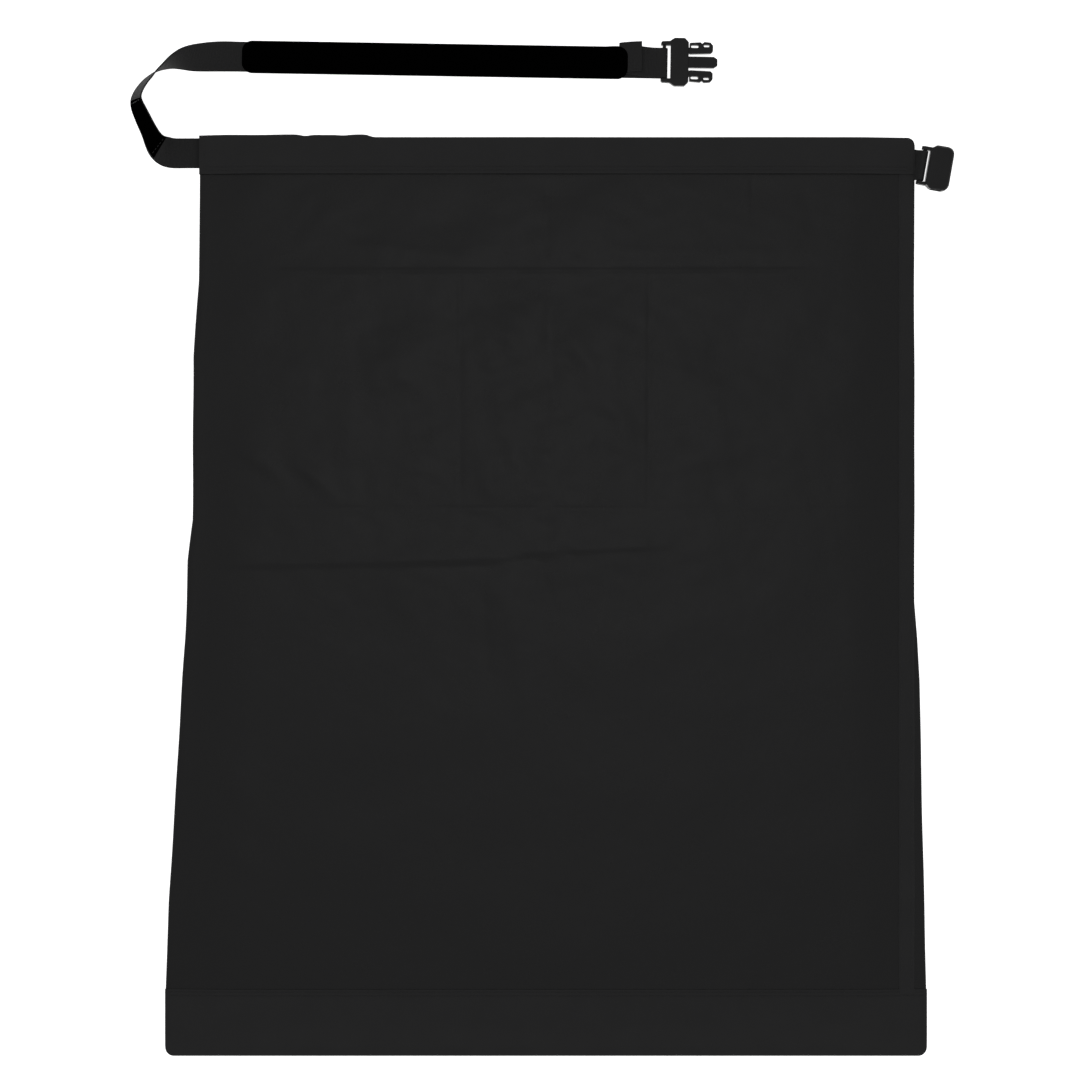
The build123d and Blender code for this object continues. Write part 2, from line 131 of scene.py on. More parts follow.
# ---------------------------------------------------------------- sizes and colours a user may change
def length(name, description, default):
    """A setting in metres."""
    return FloatProperty(name=name, description=description, default=default, unit="LENGTH", precision=5)


def shade(name, description, default):
    """A setting that is a colour."""
    return FloatVectorProperty(
        name=name, description=description, default=default, subtype="COLOR", size=3, min=0.0, max=1.0
    )


class ChangingBagCloth(bpy.types.PropertyGroup):
    """Thickness and fullness of the sewn cloth."""

    shell: length("Shell cloth", "Thickness of the outer cloth", 0.7 * MM)
    liner: length("Liner cloth", "Thickness of the light-proof liner", 0.35 * MM)
    liner_inset: length("Liner inset", "How far the liner lies inside the shell's outer face", 0.9 * MM)
    edge: length("Edge thickness", "Thickness of the closed side edges", 3.0 * MM)
    edge_rise: length("Edge rise", "Width over which the bag swells from its edges", 60 * MM)
    crown: length("Crown", "Height of the empty bag in its middle", 7.0 * MM)
    step: length("Mesh step", "Spacing of the shell's rows and columns", 4.4 * MM)
    fold_zone: length("Fold zone", "Half the width of the cloth that bends at each fold line", 5.5 * MM)
    wrinkle: FloatProperty(
        name="Wrinkles", description="Height of the creases against those of a used bag", default=1.0, min=0.0
    )


class ChangingBagStrap(bpy.types.PropertyGroup):
    """The closing strap and what is sewn to it."""

    length: length("Strap length", "From the hem's end to the bar of the plug", 0.528)
    selvedge: length("Selvedge radius", "Rounding of the webbing's edges", 0.55 * MM)
    sleeve_width: length("Sleeve width", "Width of the smooth sleeve", 27.2 * MM)
    label_width: length("Label width", "Width of the blank label", 22.6 * MM)
    stitch: length("Stitch length", "Length of one stitch", 2.6 * MM)
    thread: length("Thread", "Thickness of the sewing thread", 0.45 * MM)
    buckle_edge: length("Buckle edges", "Rounding of the buckle's moulded edges", 0.35 * MM)


class ChangingBagColours(bpy.types.PropertyGroup):
    """Base colours, as linear values."""

    shell: shade("Shell", "Coated outer cloth", (0.0048, 0.0048, 0.0050))
    liner: shade("Liner", "Light-proof liner", (0.004, 0.004, 0.0042))
    band: shade("Bands", "Hem, tape and bottom band", (0.0134, 0.0134, 0.0137))
    webbing: shade("Webbing", "Strap webbing", (0.0146, 0.0146, 0.0149))
    sleeve: shade("Sleeve", "Smooth sleeve and label", (0.0003, 0.0003, 0.0003))
    plastic: shade("Buckle", "Moulded buckle plastic", (0.0040, 0.0040, 0.0042))
    thread: shade("Thread", "Sewing thread", (0.011, 0.011, 0.0115))
    floor: shade("Floor", "Pale floor", (0.93, 0.93, 0.93))


# ---------------------------------------------------------------- grids, sheets and ribbons
def smooth(t):
    """The smoothstep 3t^2 - 2t^3 of t held between 0 and 1."""
    t = np.clip(t, 0.0, 1.0)
    return t * t * (3 - 2 * t)


def grid_faces(rows, columns, closed=False):
    """Quads of a grid of points numbered row by row; closed joins the last column to the first."""
    a, b = np.meshgrid(np.arange(rows - 1), np.arange(columns if closed else columns - 1), indexing="ij")
    c = (b + 1) % columns
    row, after = a * columns, (a + 1) * columns
    return np.stack([row + b, row + c, after + c, after + b], -1).reshape(-1, 4)


def grid_normals(points, closed=False):
    """Unit normals of a grid: the cross product of the differences along its rows and columns."""
    along = np.gradient(points, axis=0)
    if closed:
        wrapped = np.concatenate([points[:, -1:], points, points[:, :1]], axis=1)
        across = (wrapped[:, 2:] - wrapped[:, :-2]) / 2
    else:
        across = np.gradient(points, axis=1)
    normals = np.cross(across, along)
    return normals / np.maximum(np.linalg.norm(normals, axis=-1, keepdims=True), 1e-12)


def piece(name, points, faces, material, uv=None):
    """A smooth mesh object of these points and faces, its faces turned outwards by the sign of its volume."""
    points = np.asarray(points, float).reshape(-1, 3)
    if isinstance(faces, np.ndarray):
        lists = faces.tolist()
        fan = np.concatenate([faces[:, [0, 1, 2]], faces[:, [0, 2, 3]]])
    else:
        lists = [list(map(int, face)) for face in faces]
        fan = np.array([(face[0], *pair) for face in lists for pair in zip(face[1:], face[2:])])
    a, b, c = (points[fan[:, i]] for i in range(3))
    if np.einsum("ij,ij->", a, np.cross(b, c)) < 0:
        lists = [face[::-1] for face in lists]
    mesh = bpy.data.meshes.new(name)
    mesh.from_pydata(points.tolist(), [], lists)
    mesh.polygons.foreach_set("use_smooth", np.ones(len(mesh.polygons), bool))
    if uv is not None:
        corner = np.zeros(len(mesh.loops), np.int32)
        mesh.loops.foreach_get("vertex_index", corner)
        layer = mesh.uv_layers.new(name="Weave")
        layer.data.foreach_set("uv", np.asarray(uv, np.float32).reshape(-1, 2)[corner].ravel())
    mesh.set_sharp_from_angle(angle=math.radians(50))
    mesh.update()
    if mesh.validate(verbose=False):
        raise RuntimeError(f"{name}: its mesh had faulty faces")
    made = bpy.data.objects.new(name, mesh)
    bpy.context.scene.collection.objects.link(made)
    made.data.materials.append(material)
    return made


def sheet_mesh(name, outer, thickness, material, closed=False):
    """Cloth: the outer grid, the same grid moved in by its thickness along the normals, and the rims.

    A grid starts on the cloth's upper face, so the normals there tell which way is out.
    """
    rows, columns = outer.shape[:2]
    normals = grid_normals(outer, closed)
    inner = outer - normals * thickness * np.sign(normals[:3, 2:8, 2].sum())
    count = rows * columns
    top = grid_faces(rows, columns, closed)
    number = np.arange(count).reshape(rows, columns)
    if closed:
        loops = [np.append(number[0], number[0, 0]), np.append(number[-1], number[-1, 0])[::-1]]
    else:
        loops = [np.concatenate([number[0], number[1:, -1], number[-1, -2::-1], number[-2::-1, 0]])]
    rims = [np.stack([loop[1:], loop[:-1], loop[:-1] + count, loop[1:] + count], -1) for loop in loops]
    faces = np.concatenate([top, top[:, ::-1] + count, *rims])
    return piece(name, np.concatenate([outer.reshape(-1, 3), inner.reshape(-1, 3)]), faces, material)


def rounded_bar(width, thickness, radius, across=9, corner=3):
    """The closed profile of a flat bar with rounded edges, as (w, t) points in order round it."""
    radius = min(radius, thickness / 2, width / 2)
    turn = np.linspace(0, math.pi / 2, corner + 1)
    flat = np.linspace(-1, 1, across)[1:-1] * (width / 2 - radius)
    quarter = np.stack([np.sin(turn), np.cos(turn)], -1) * radius
    centre = np.array([width / 2 - radius, thickness / 2 - radius])
    right_top = centre + quarter
    right_low = (centre + quarter[::-1]) * [1, -1]
    low_flat = np.stack([flat[::-1], np.full(len(flat), -thickness / 2)], -1)
    high_flat = np.stack([flat, np.full(len(flat), thickness / 2)], -1)
    return np.concatenate([high_flat, right_top, right_low, low_flat, -right_top, -right_low])


def ribbon(name, line, across, up, profile, material):
    """A closed bar: each profile point (w, t) is carried along the line as line + across w + up t."""
    across = np.broadcast_to(across, line.shape)
    up = np.broadcast_to(up, line.shape)
    grid = line[:, None] + across[:, None] * profile[None, :, :1] + up[:, None] * profile[None, :, 1:]
    rows, columns = grid.shape[:2]
    faces = grid_faces(rows, columns, closed=True).tolist()
    faces.append(list(range(columns)))
    faces.append(list(range(rows * columns - 1, (rows - 1) * columns - 1, -1)))
    run = run_along(line)
    uv = np.stack(np.broadcast_arrays(profile[None, :, 0], run[:, None]), -1)
    return piece(name, grid, faces, material, uv)


def run_along(line):
    """Distance along a line at each of its points."""
    return np.concatenate([[0], np.cumsum(np.linalg.norm(np.diff(line, axis=0), axis=1))])


def eased(line, step):
    """A folded strip's side view, evenly spaced about a step apart and eased three times at its bends."""
    run = run_along(line)
    at = np.linspace(0, run[-1], max(2, int(round(run[-1] / step)) + 1))
    line = np.stack([np.interp(at, run, line[:, i]) for i in range(line.shape[1])], -1)
    for _ in range(3):
        line[1:-1] = (line[:-2] + 2 * line[1:-1] + line[2:]) / 4
    return line


def directions(line):
    """Unit directions along a line, by central differences."""
    heading = np.gradient(line, axis=0)
    return heading / np.linalg.norm(heading, axis=1, keepdims=True)


# ---------------------------------------------------------------- the lie of the empty bag
# Fold marks and creases of the front: from (x, y) to (x, y), the half widths to the left and the
# right of that direction, and the height. They are the marks of a bag that was stored folded in a
# grid, and the crumples where those marks cross.
CREASES = [
    ((-0.240, 0.2740), (0.235, 0.2746), 14.0, 1.8, -0.42),
    ((-0.205, 0.2676), (0.215, 0.2684), 1.8, 1.8, 0.16),
    ((-0.300, 0.0742), (0.310, 0.0735), 1.0, 1.0, -0.16),
    ((-0.0717, 0.290), (-0.0712, 0.060), 1.8, 1.8, -0.26),
    ((0.0008, 0.370), (0.0010, 0.262), 3.2, 3.2, -0.34),
    ((0.0010, 0.275), (0.0080, 0.130), 7.0, 5.0, -0.40),
    ((0.0858, 0.290), (0.0850, 0.060), 1.8, 1.8, -0.28),
    ((-0.1650, 0.244), (-0.1590, 0.058), 5.0, 16.0, 0.55),
    ((0.1708, 0.370), (0.1715, 0.300), 1.8, 1.8, -0.28),
    ((0.2080, 0.360), (0.2290, 0.280), 4.0, 4.0, -0.28),
    ((-0.1750, 0.350), (-0.2180, 0.284), 6.0, 6.0, -0.35),
    ((0.0050, 0.0860), (0.0052, 0.022), 2.4, 2.0, -0.34),
    ((-0.290, 0.0258), (-0.020, 0.0305), 20.0, 2.6, 0.85),
    ((-0.150, 0.0285), (0.030, 0.0355), 16.0, 2.6, 0.45),
    ((-0.040, 0.0355), (0.110, 0.0430), 13.0, 2.6, 0.65),
    ((-0.027, 0.0290), (-0.003, 0.0345), 3.6, 3.6, -0.50),
    ((0.002, 0.0410), (0.028, 0.0350), 3.6, 3.6, -0.45),
    ((-0.056, 0.030), (-0.046, -0.085), 4.5, 3.4, -0.42),
    ((-0.010, 0.038), (0.014, -0.032), 5.0, 6.0, -0.50),
    ((0.058, 0.020), (0.014, -0.095), 12.0, 5.0, 0.42),
    ((-0.038, 0.030), (-0.008, -0.120), 13.0, 9.0, 0.50),
    ((-0.140, 0.025), (-0.074, -0.066), 15.0, 10.0, 0.40),
    ((-0.268, 0.1340), (-0.206, 0.0860), 10.0, 4.2, 1.10),
    ((-0.226, 0.1280), (-0.166, 0.0740), 10.0, 4.2, 1.20),
    ((-0.188, 0.295), (-0.054, 0.281), 5.0, 6.0, 0.42),
    ((0.030, 0.286), (0.220, 0.2850), 5.5, 5.5, 0.42),
    ((-0.078, 0.258), (0.000, 0.1880), 9.0, 8.0, 0.60),
    ((0.006, 0.238), (0.074, 0.1240), 11.0, 8.0, 0.70),
    ((-0.068, 0.142), (-0.034, 0.0660), 9.0, 9.0, 0.70),
    ((-0.034, 0.140), (-0.002, 0.0660), 8.0, 8.0, 0.70),
    ((0.085, 0.2200), (0.160, 0.1360), 12.0, 12.0, 0.50),
    ((0.076, 0.1030), (0.205, 0.1270), 13.0, 9.0, 0.50),
    ((-0.170, 0.1950), (-0.070, 0.1650), 12.0, 12.0, 0.50),
    ((-0.256, 0.2120), (-0.170, 0.1530), 12.0, 12.0, 0.60),
    ((-0.280, 0.3260), (-0.220, 0.3380), 9.0, 9.0, 0.40),
    ((-0.290, -0.1300), (-0.232, -0.1850), 13.0, 11.0, 0.60),
    ((-0.285, -0.1950), (-0.215, -0.2450), 13.0, 11.0, 0.50),
]


def mark(x, y, start, end, left, right, rise):
    """A crease in millimetres: a Gaussian of the distance from its line, with a half width for each
    side, faded out over its last 40 mm at each end, or from its middle where it is shorter."""
    ux, uy = end[0] - start[0], end[1] - start[1]
    long = math.hypot(ux, uy)
    along = ((x - start[0]) * ux + (y - start[1]) * uy) / long**2
    off = ((y - start[1]) * ux - (x - start[0]) * uy) / long
    width = np.where(off > 0, left, right) * MM
    fade = min(0.5, 40 * MM / long)
    return rise * MM * np.exp(-((off / width) ** 2)) * smooth(along / fade) * smooth((1 - along) / fade)


def waves(x, y, seed, count, shortest, longest):
    """A random swell: sines of random directions and phases, with wavelengths between two limits."""
    draw = np.random.default_rng(seed)
    total = np.zeros(np.broadcast(x, y).shape)
    for angle, phase, share in draw.random((count, 3)):
        reach = shortest * (longest / shortest) ** share
        turn = 2 * math.pi * (x * math.cos(2 * math.pi * angle) + y * math.sin(2 * math.pi * angle)) / reach
        total += np.sin(turn + 2 * math.pi * phase)
    return total / math.sqrt(count)


def worn(x, y):
    """How crumpled the cloth is, from 0 to 1: most in the upper middle and little below."""
    return 0.18 + 0.82 * np.exp(-(((x + 0.030) / 0.24) ** 2) - (((y - 0.17) / 0.17) ** 2))


def relief(x, y):
    """Height of the front's marks, creases and swells over its even lie."""
    total = sum(mark(x, y, *entry) for entry in CREASES)
    total += worn(x, y) * 0.19 * MM * waves(x, y, 11, 36, 0.016, 0.045)
    total += (0.15 + 0.45 * worn(x, y)) * MM * waves(x, y, 5, 14, 0.06, 0.20)
    return total


def edge_ripple(y, seed):
    """The slight waviness of a sewn edge, in x."""
    return 0.35 * MM * waves(0 * y, y, seed, 6, 0.03, 0.12)


def left_edge(y):
    """The x of the bag's left side at y."""
    ys, xs = zip(*LEFT_CORNERS)
    return np.interp(y, ys, xs) + edge_ripple(y, 3)


def right_edge(y):
    """The x of the bag's right side at y."""
    ys, xs = zip(*RIGHT_CORNERS)
    return np.interp(y, ys, xs) + 0.5 * edge_ripple(y, 4)


def bag_heights(x, y, inset, settings):
    """Top and bottom heights of the bag at (x, y), moved in by inset: both swell from the pinched edges."""
    from_edge = np.minimum(x - left_edge(y), right_edge(y) - x) - settings.edge / 2
    swell = smooth(from_edge / settings.edge_rise) ** 0.8 * smooth((y - BOTTOM - 2 * MM) / (28 * MM))
    pinch = settings.edge / 2 + 0.4 * MM
    calm = smooth((FOLD_HEM - y) / (14 * MM)) * smooth((y - BOTTOM) / (25 * MM))
    crown = settings.crown + settings.wrinkle * relief(x, y) * (0.25 + 0.75 * calm)
    top = pinch + settings.edge / 2 + (crown - pinch - settings.edge / 2) * swell
    under = pinch - settings.edge / 2
    bottom = under * (1 - swell) + 0.05 * MM
    return top - inset, bottom + inset


def bag_grid(rows, inset, settings, front, back):
    """The bag's cross-section at each y of rows: over the front, round the left edge, under, round the right.

    front and back hold the places of the columns, from 0 at one side edge to 1 at the other.
    """
    y = rows[:, None]
    radius = settings.edge / 2 - inset
    left = left_edge(y) + inset + radius
    right = right_edge(y) - inset - radius
    front = right + (left - right) * front
    back = left + (right - left) * back
    top, _ = bag_heights(front, y, inset, settings)
    _, bottom = bag_heights(back, y, inset, settings)
    turn = np.linspace(0, math.pi, 7)[1:-1]
    middle = (top[:, -1:] + bottom[:, :1]) / 2
    tall = (top[:, -1:] - bottom[:, :1]) / 2
    left_x = left - radius * np.sin(turn)
    left_z = middle + tall * np.cos(turn)
    middle = (top[:, :1] + bottom[:, -1:]) / 2
    tall = (top[:, :1] - bottom[:, -1:]) / 2
    right_x = right + radius * np.sin(turn)
    right_z = middle - tall * np.cos(turn)
    x = np.concatenate([front, left_x, back, right_x], axis=1)
    z = np.concatenate([top, left_z, bottom, right_z], axis=1)
    return np.stack([x, np.broadcast_to(y, x.shape), z], -1)


def places(start, end, step, fine):
    """Values from start to end, a step apart, and closer in each (middle, half width, times closer)."""
    samples = np.linspace(start, end, 4000)
    density = np.ones(4000)
    for middle, reach, closer in fine:
        density = np.maximum(density, np.where(np.abs(samples - middle) < reach, closer, 0))
    count = np.cumsum(density) * (end - start) / 4000 / step
    inside = np.interp(np.linspace(count[0], count[-1], int(count[-1]) + 2), count, samples)
    inside[0], inside[-1] = start, end
    return inside


FINE_ROWS = [(0.0738, 4 * MM, 4), (0.033, 16 * MM, 2.5), (0.16, 0.17, 1.25)]
FINE_COLUMNS = [(-0.0715, 5 * MM, 3), (0.004, 9 * MM, 2), (0.0855, 5 * MM, 3), (0.171, 4 * MM, 3)]


def front_columns(step):
    """Places of the front's columns from the right edge to the left, closer at its upright fold marks."""
    across = places(TOP_LEFT, TOP_RIGHT, step, FINE_COLUMNS)
    return (TOP_RIGHT - across[::-1]) / (TOP_RIGHT - TOP_LEFT)


# ---------------------------------------------------------------- materials
def add_node(tree, kind, place=(0, 0), **values):
    """A shader node with its sockets or properties set by name."""
    node = tree.nodes.new(kind)
    node.location = place
    for key, value in values.items():
        if hasattr(node, key):
            setattr(node, key, value)
        else:
            node.inputs[key.replace("_", " ")].default_value = value
    return node


def new_material(name, colour):
    """A material with one Principled shader in that base colour; returns it, its tree and the shader."""
    material = bpy.data.materials.new(name)
    material.use_nodes = True
    tree = material.node_tree
    shader = tree.nodes["Principled BSDF"]
    shader.inputs["Base Color"].default_value = (*colour, 1)
    material.diffuse_color = (*colour, 1)
    return material, tree, shader


def tinted(tree, shader, factor, colour, dark, light):
    """Base colour between a darker and a lighter shade of one colour, by a factor socket."""
    ramp = add_node(tree, "ShaderNodeValToRGB", (-300, 200))
    ramp.color_ramp.elements[0].position = 0.3
    ramp.color_ramp.elements[1].position = 0.7
    ramp.color_ramp.elements[0].color = (*[c * dark for c in colour], 1)
    ramp.color_ramp.elements[1].color = (*[c * light for c in colour], 1)
    tree.links.new(factor, ramp.inputs["Fac"])
    tree.links.new(ramp.outputs["Color"], shader.inputs["Base Color"])


def ranged(tree, factor, to_min, to_max):
    """A factor socket carried from 0..1 to another range."""
    carry = add_node(tree, "ShaderNodeMapRange", (-300, -100), To_Min=to_min, To_Max=to_max)
    tree.links.new(factor, carry.inputs["Value"])
    return carry.outputs["Result"]


def bump_chain(tree, shader, heights):
    """Bump nodes one after the other, from (height socket, strength, distance) entries."""
    last = None
    for height, strength, distance in heights:
        bump = add_node(tree, "ShaderNodeBump", (-150, -300), Strength=strength, Distance=distance)
        tree.links.new(height, bump.inputs["Height"])
        if last is not None:
            tree.links.new(last, bump.inputs["Normal"])
        last = bump.outputs["Normal"]
    tree.links.new(last, shader.inputs["Normal"])


def noise(tree, source, scale, detail=2.0, roughness=0.5):
    """A noise texture of that many features a metre."""
    node = add_node(tree, "ShaderNodeTexNoise", (-700, 0), Scale=scale, Detail=detail, Roughness=roughness)
    tree.links.new(source, node.inputs["Vector"])
    return node.outputs["Fac"]


def threads(tree, source, pitch, axis, profile="SIN"):
    """Bands across one axis, one for each thread, a pitch apart."""
    wave = add_node(tree, "ShaderNodeTexWave", (-700, -300), wave_type="BANDS", bands_direction=axis)
    wave.wave_profile = profile
    wave.inputs["Scale"].default_value = math.pi / 10 / pitch
    wave.inputs["Distortion"].default_value = 0.0
    tree.links.new(source, wave.inputs["Vector"])
    return wave.outputs["Fac"]


def multiplied(tree, a, b):
    """The product of two sockets."""
    node = add_node(tree, "ShaderNodeMath", (-500, -300), operation="MULTIPLY")
    tree.links.new(a, node.inputs[0])
    tree.links.new(b, node.inputs[1])
    return node.outputs["Value"]


def cloth_material(name, colour, pitch, rough, specular, mottle):
    """Plain-weave cloth: crossed threads, slubs, fine crinkles and a cloudy gloss."""
    material, tree, shader = new_material(name, colour)
    place = add_node(tree, "ShaderNodeTexCoord", (-1100, 0)).outputs["Object"]
    slub = noise(tree, place, 0.55 / pitch, 3.0, 0.6)
    cloud = noise(tree, place, 38.0, 3.0, 0.55)
    crinkle = noise(tree, place, 190.0, 4.0, 0.6)
    tinted(tree, shader, slub, colour, 1 - mottle, 1 + mottle)
    tree.links.new(ranged(tree, cloud, rough[0], rough[1]), shader.inputs["Roughness"])
    weave = multiplied(tree, threads(tree, place, pitch, "X"), threads(tree, place, pitch, "Y"))
    bump_chain(tree, shader, [(crinkle, 0.35, 0.35 * MM), (slub, 0.25, 0.10 * MM), (weave, 0.35, 0.08 * MM)])
    shader.inputs["Specular IOR Level"].default_value = specular
    return material


def webbing_material(name, colour, pitch):
    """Ribbed webbing on its own UV in metres: ribs across, warp cords along, and a rubbed mottle."""
    material, tree, shader = new_material(name, colour)
    place = add_node(tree, "ShaderNodeTexCoord", (-1100, 0)).outputs["UV"]
    ribs = threads(tree, place, pitch, "Y")
    cords = threads(tree, place, pitch * 0.8, "X")
    rub = noise(tree, place, 700.0, 3.0, 0.6)
    tinted(tree, shader, rub, colour, 0.75, 1.25)
    tree.links.new(ranged(tree, rub, 0.62, 0.82), shader.inputs["Roughness"])
    bump_chain(tree, shader, [(ribs, 0.6, 0.22 * MM), (cords, 0.4, 0.12 * MM), (rub, 0.3, 0.08 * MM)])
    shader.inputs["Specular IOR Level"].default_value = 0.12
    return material


def plastic_material(name, colour, rough):
    """Moulded plastic: a fine spark-eroded grain, and faint flow marks that also vary its roughness."""
    material, tree, shader = new_material(name, colour)
    place = add_node(tree, "ShaderNodeTexCoord", (-1100, 0)).outputs["Object"]
    grain = noise(tree, place, 2600.0, 2.0, 0.5)
    flow = noise(tree, place, 120.0, 3.0, 0.55)
    tinted(tree, shader, flow, colour, 0.85, 1.15)
    tree.links.new(ranged(tree, flow, rough[0], rough[1]), shader.inputs["Roughness"])
    bump_chain(tree, shader, [(flow, 0.10, 0.20 * MM), (grain, 0.12, 0.05 * MM)])
    shader.inputs["Specular IOR Level"].default_value = 0.22
    return material


def finishes():
    """All the materials, made once and kept by name."""
    colours = bpy.context.scene.changing_bag_colours
    made = {m.name: m for m in bpy.data.materials}
    if "coated shell cloth" in made:
        return made
    cloth_material("coated shell cloth", colours.shell, 0.55 * MM, (0.20, 0.32), 0.20, 0.10)
    cloth_material("light-proof liner", colours.liner, 0.40 * MM, (0.75, 0.90), 0.10, 0.15)
    cloth_material("band cloth", colours.band, 0.70 * MM, (0.62, 0.78), 0.18, 0.05)
    webbing_material("ribbed webbing", colours.webbing, 1.3 * MM)
    cloth_material("smooth sleeve", colours.sleeve, 0.35 * MM, (0.85, 0.95), 0.0, 0.30)
    plastic_material("buckle plastic", colours.plastic, (0.30, 0.42))
    cloth_material("sewing thread", colours.thread, 0.15 * MM, (0.55, 0.70), 0.30, 0.15)
    return {m.name: m for m in bpy.data.materials}


# ---------------------------------------------------------------- the bag's cloth
CLEAR = 0.02 * MM  # the bands lie this far above the surface the bag rests on
FRONT_BAND = 2.3 * MM  # height of the hem's front band, folded over the stiffener
BACK_BAND = 2.5 * MM  # and of its back band, folded over the webbing
TURNS = [
    ("body", BOTTOM + 9 * MM, MIDDLE_TURN_A, "bag", "turn_a", FOLD_A),
    ("turns", MIDDLE_TURN_A, MIDDLE_TURN_B, "turn_a", "turn_b", FOLD_B),
    ("neck", MIDDLE_TURN_B, FOLD_HEM + 3.5 * MM, "turn_b", "hem", FOLD_HEM),
]


def bend_at_fold(made):
    """Bakes the piece's placement into its mesh; the piece is not bent at its fold line."""
    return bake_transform(made)


def frame_nodes(part, words):
    """The frame's nodes for one stretch of the bag whose names start with the given words."""
    ending = {"body": "", "turns": "_turn_a", "neck": "_turn_b"}[part]
    return [word + ending for word in words]


class CHANGINGBAG_OT_shell(bpy.types.Operator):
    """The outer shell: one cloth tube, in three stretches that meet in the middle of each turn"""

    bl_idname = "changing_bag.shell"
    bl_label = "Outer shell"

    def execute(self, context):
        cloth = context.scene.changing_bag_cloth
        material = finishes()["coated shell cloth"]
        for part, start, end, a, b, fold in TURNS:
            bend = (fold, 1.3 * cloth.fold_zone, cloth.step / (0.6 * MM))
            rows = places(start, end, cloth.step, [bend, *FINE_ROWS])
            grid = bag_grid(rows, 0.0, cloth, front_columns(cloth.step), np.linspace(0, 1, 50))
            made = sheet_mesh(f"shell_{part}", grid, cloth.shell, material, closed=True)
            bend_at_fold(made)
            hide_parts(*frame_nodes(part, ["front_panel", "back_panel", "left_seam_fold"]))
        return {"FINISHED"}


class CHANGINGBAG_OT_liner(bpy.types.Operator):
    """The light-proof liner, a second tube inside the shell"""

    bl_idname = "changing_bag.liner"
    bl_label = "Liner"

    def execute(self, context):
        cloth = context.scene.changing_bag_cloth
        material = finishes()["light-proof liner"]
        for part, start, end, a, b, fold in TURNS:
            reach = end + 3.0 * MM if part == "neck" else end
            bend = (fold, 1.3 * cloth.fold_zone, cloth.step / (1.0 * MM))
            rows = places(start, reach, cloth.step, [bend, *FINE_ROWS])
            grid = bag_grid(rows, cloth.liner_inset, cloth, np.linspace(0, 1, 60), np.linspace(0, 1, 40))
            made = sheet_mesh(f"liner_{part}", grid, cloth.liner, material, closed=True)
            bend_at_fold(made)
            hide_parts(*frame_nodes(part, ["front_liner", "back_liner"]))
        return {"FINISHED"}


class CHANGINGBAG_OT_seam_tape(bpy.types.Operator):
    """The flat tape sewn down along the right edge of the front"""

    bl_idname = "changing_bag.seam_tape"
    bl_label = "Seam tape"

    def execute(self, context):
        cloth = context.scene.changing_bag_cloth
        material = finishes()["band cloth"]
        for part, start, end, a, b, fold in TURNS:
            first = BAND_LINE - 4 * MM if part == "body" else start
            last = FOLD_HEM + 1 * MM if part == "neck" else end
            bend = (fold, 1.3 * cloth.fold_zone, cloth.step / (0.6 * MM))
            rows = places(first, last, cloth.step, [bend])[:, None]
            outer = TOP_RIGHT - 0.1 * MM + 0.5 * edge_ripple(rows, 4)
            inner = TAPE_LEFT + 0.12 * MM * waves(0 * rows, rows, 8, 5, 0.02, 0.1)
            x = inner + (outer - inner) * np.linspace(0, 1, 15)
            top, _ = bag_heights(x, rows, 0.0, cloth)
            lift = 0.75 * MM * smooth((x - inner) / (0.9 * MM)) * smooth((outer - x) / (0.9 * MM))
            z = top + 0.15 * MM + lift
            grid = np.stack([x, np.broadcast_to(rows, x.shape), z], -1)
            made = sheet_mesh(f"seam_tape_{part}", grid, 0.6 * MM, material)
            bend_at_fold(made)
            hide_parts(*frame_nodes(part, ["right_seam_tape"]))
        return {"FINISHED"}


def rounded_corner(distance, radius):
    """How far a corner of that radius draws an edge in, at a distance from the side."""
    d = np.clip(distance, 0, radius)
    return radius - np.sqrt(np.maximum(radius**2 - (radius - d) ** 2, 0))


SEAM_ROWS = (2.2 * MM, 5.2 * MM)
SEAM_DEPTH = 0.30 * MM


def seam_groove(distance):
    """Depth that a double row of stitches draws the cloth in, at a distance from the band's edge."""
    return sum(SEAM_DEPTH * np.exp(-(((distance - row) / (0.8 * MM)) ** 2)) for row in SEAM_ROWS)


def band_heights(x, y, edge, settings):
    """Top and underside of the bottom band at (x, y), where edge is the y of its folded edge at each x."""
    top, bottom = bag_heights(x, y, 0.0, settings)
    sink = smooth((y - edge) / (12 * MM))
    high_z = 3.6 * MM + (np.maximum(top, 3.4 * MM) + 0.85 * MM - 3.6 * MM) * sink
    low_z = np.maximum(bottom - 0.75 * MM, CLEAR)
    groove = seam_groove(BAND_LINE - y)
    return high_z - groove, low_z + groove


def flap_profile(back_y, front_y, edge_y, z_low, z_high, points):
    """A cloth folded over an edge: along the upper flap to the fold, round it, and back along the lower flap.

    The y and z values are arrays over x; the result is a grid of y and z, one row for each profile point.
    """
    radius = (z_high - z_low) / 2
    sign = np.sign(edge_y - front_y)
    centre = edge_y - sign * radius
    t = np.linspace(0, 1, points)[:, None]
    turn = np.linspace(0, math.pi, 9)[1:-1, None]
    flaps = front_y + (centre - front_y) * t, centre + (back_y - centre) * t
    y = np.concatenate([flaps[0], centre + sign * radius * np.sin(turn), flaps[1]])
    upper = z_high - seam_groove(flaps[0] - HEM_LINE)
    lower = z_low + seam_groove(flaps[1] - HEM_LINE)
    z = np.concatenate([upper, (z_high + z_low) / 2 + radius * np.cos(turn), lower])
    return y, z


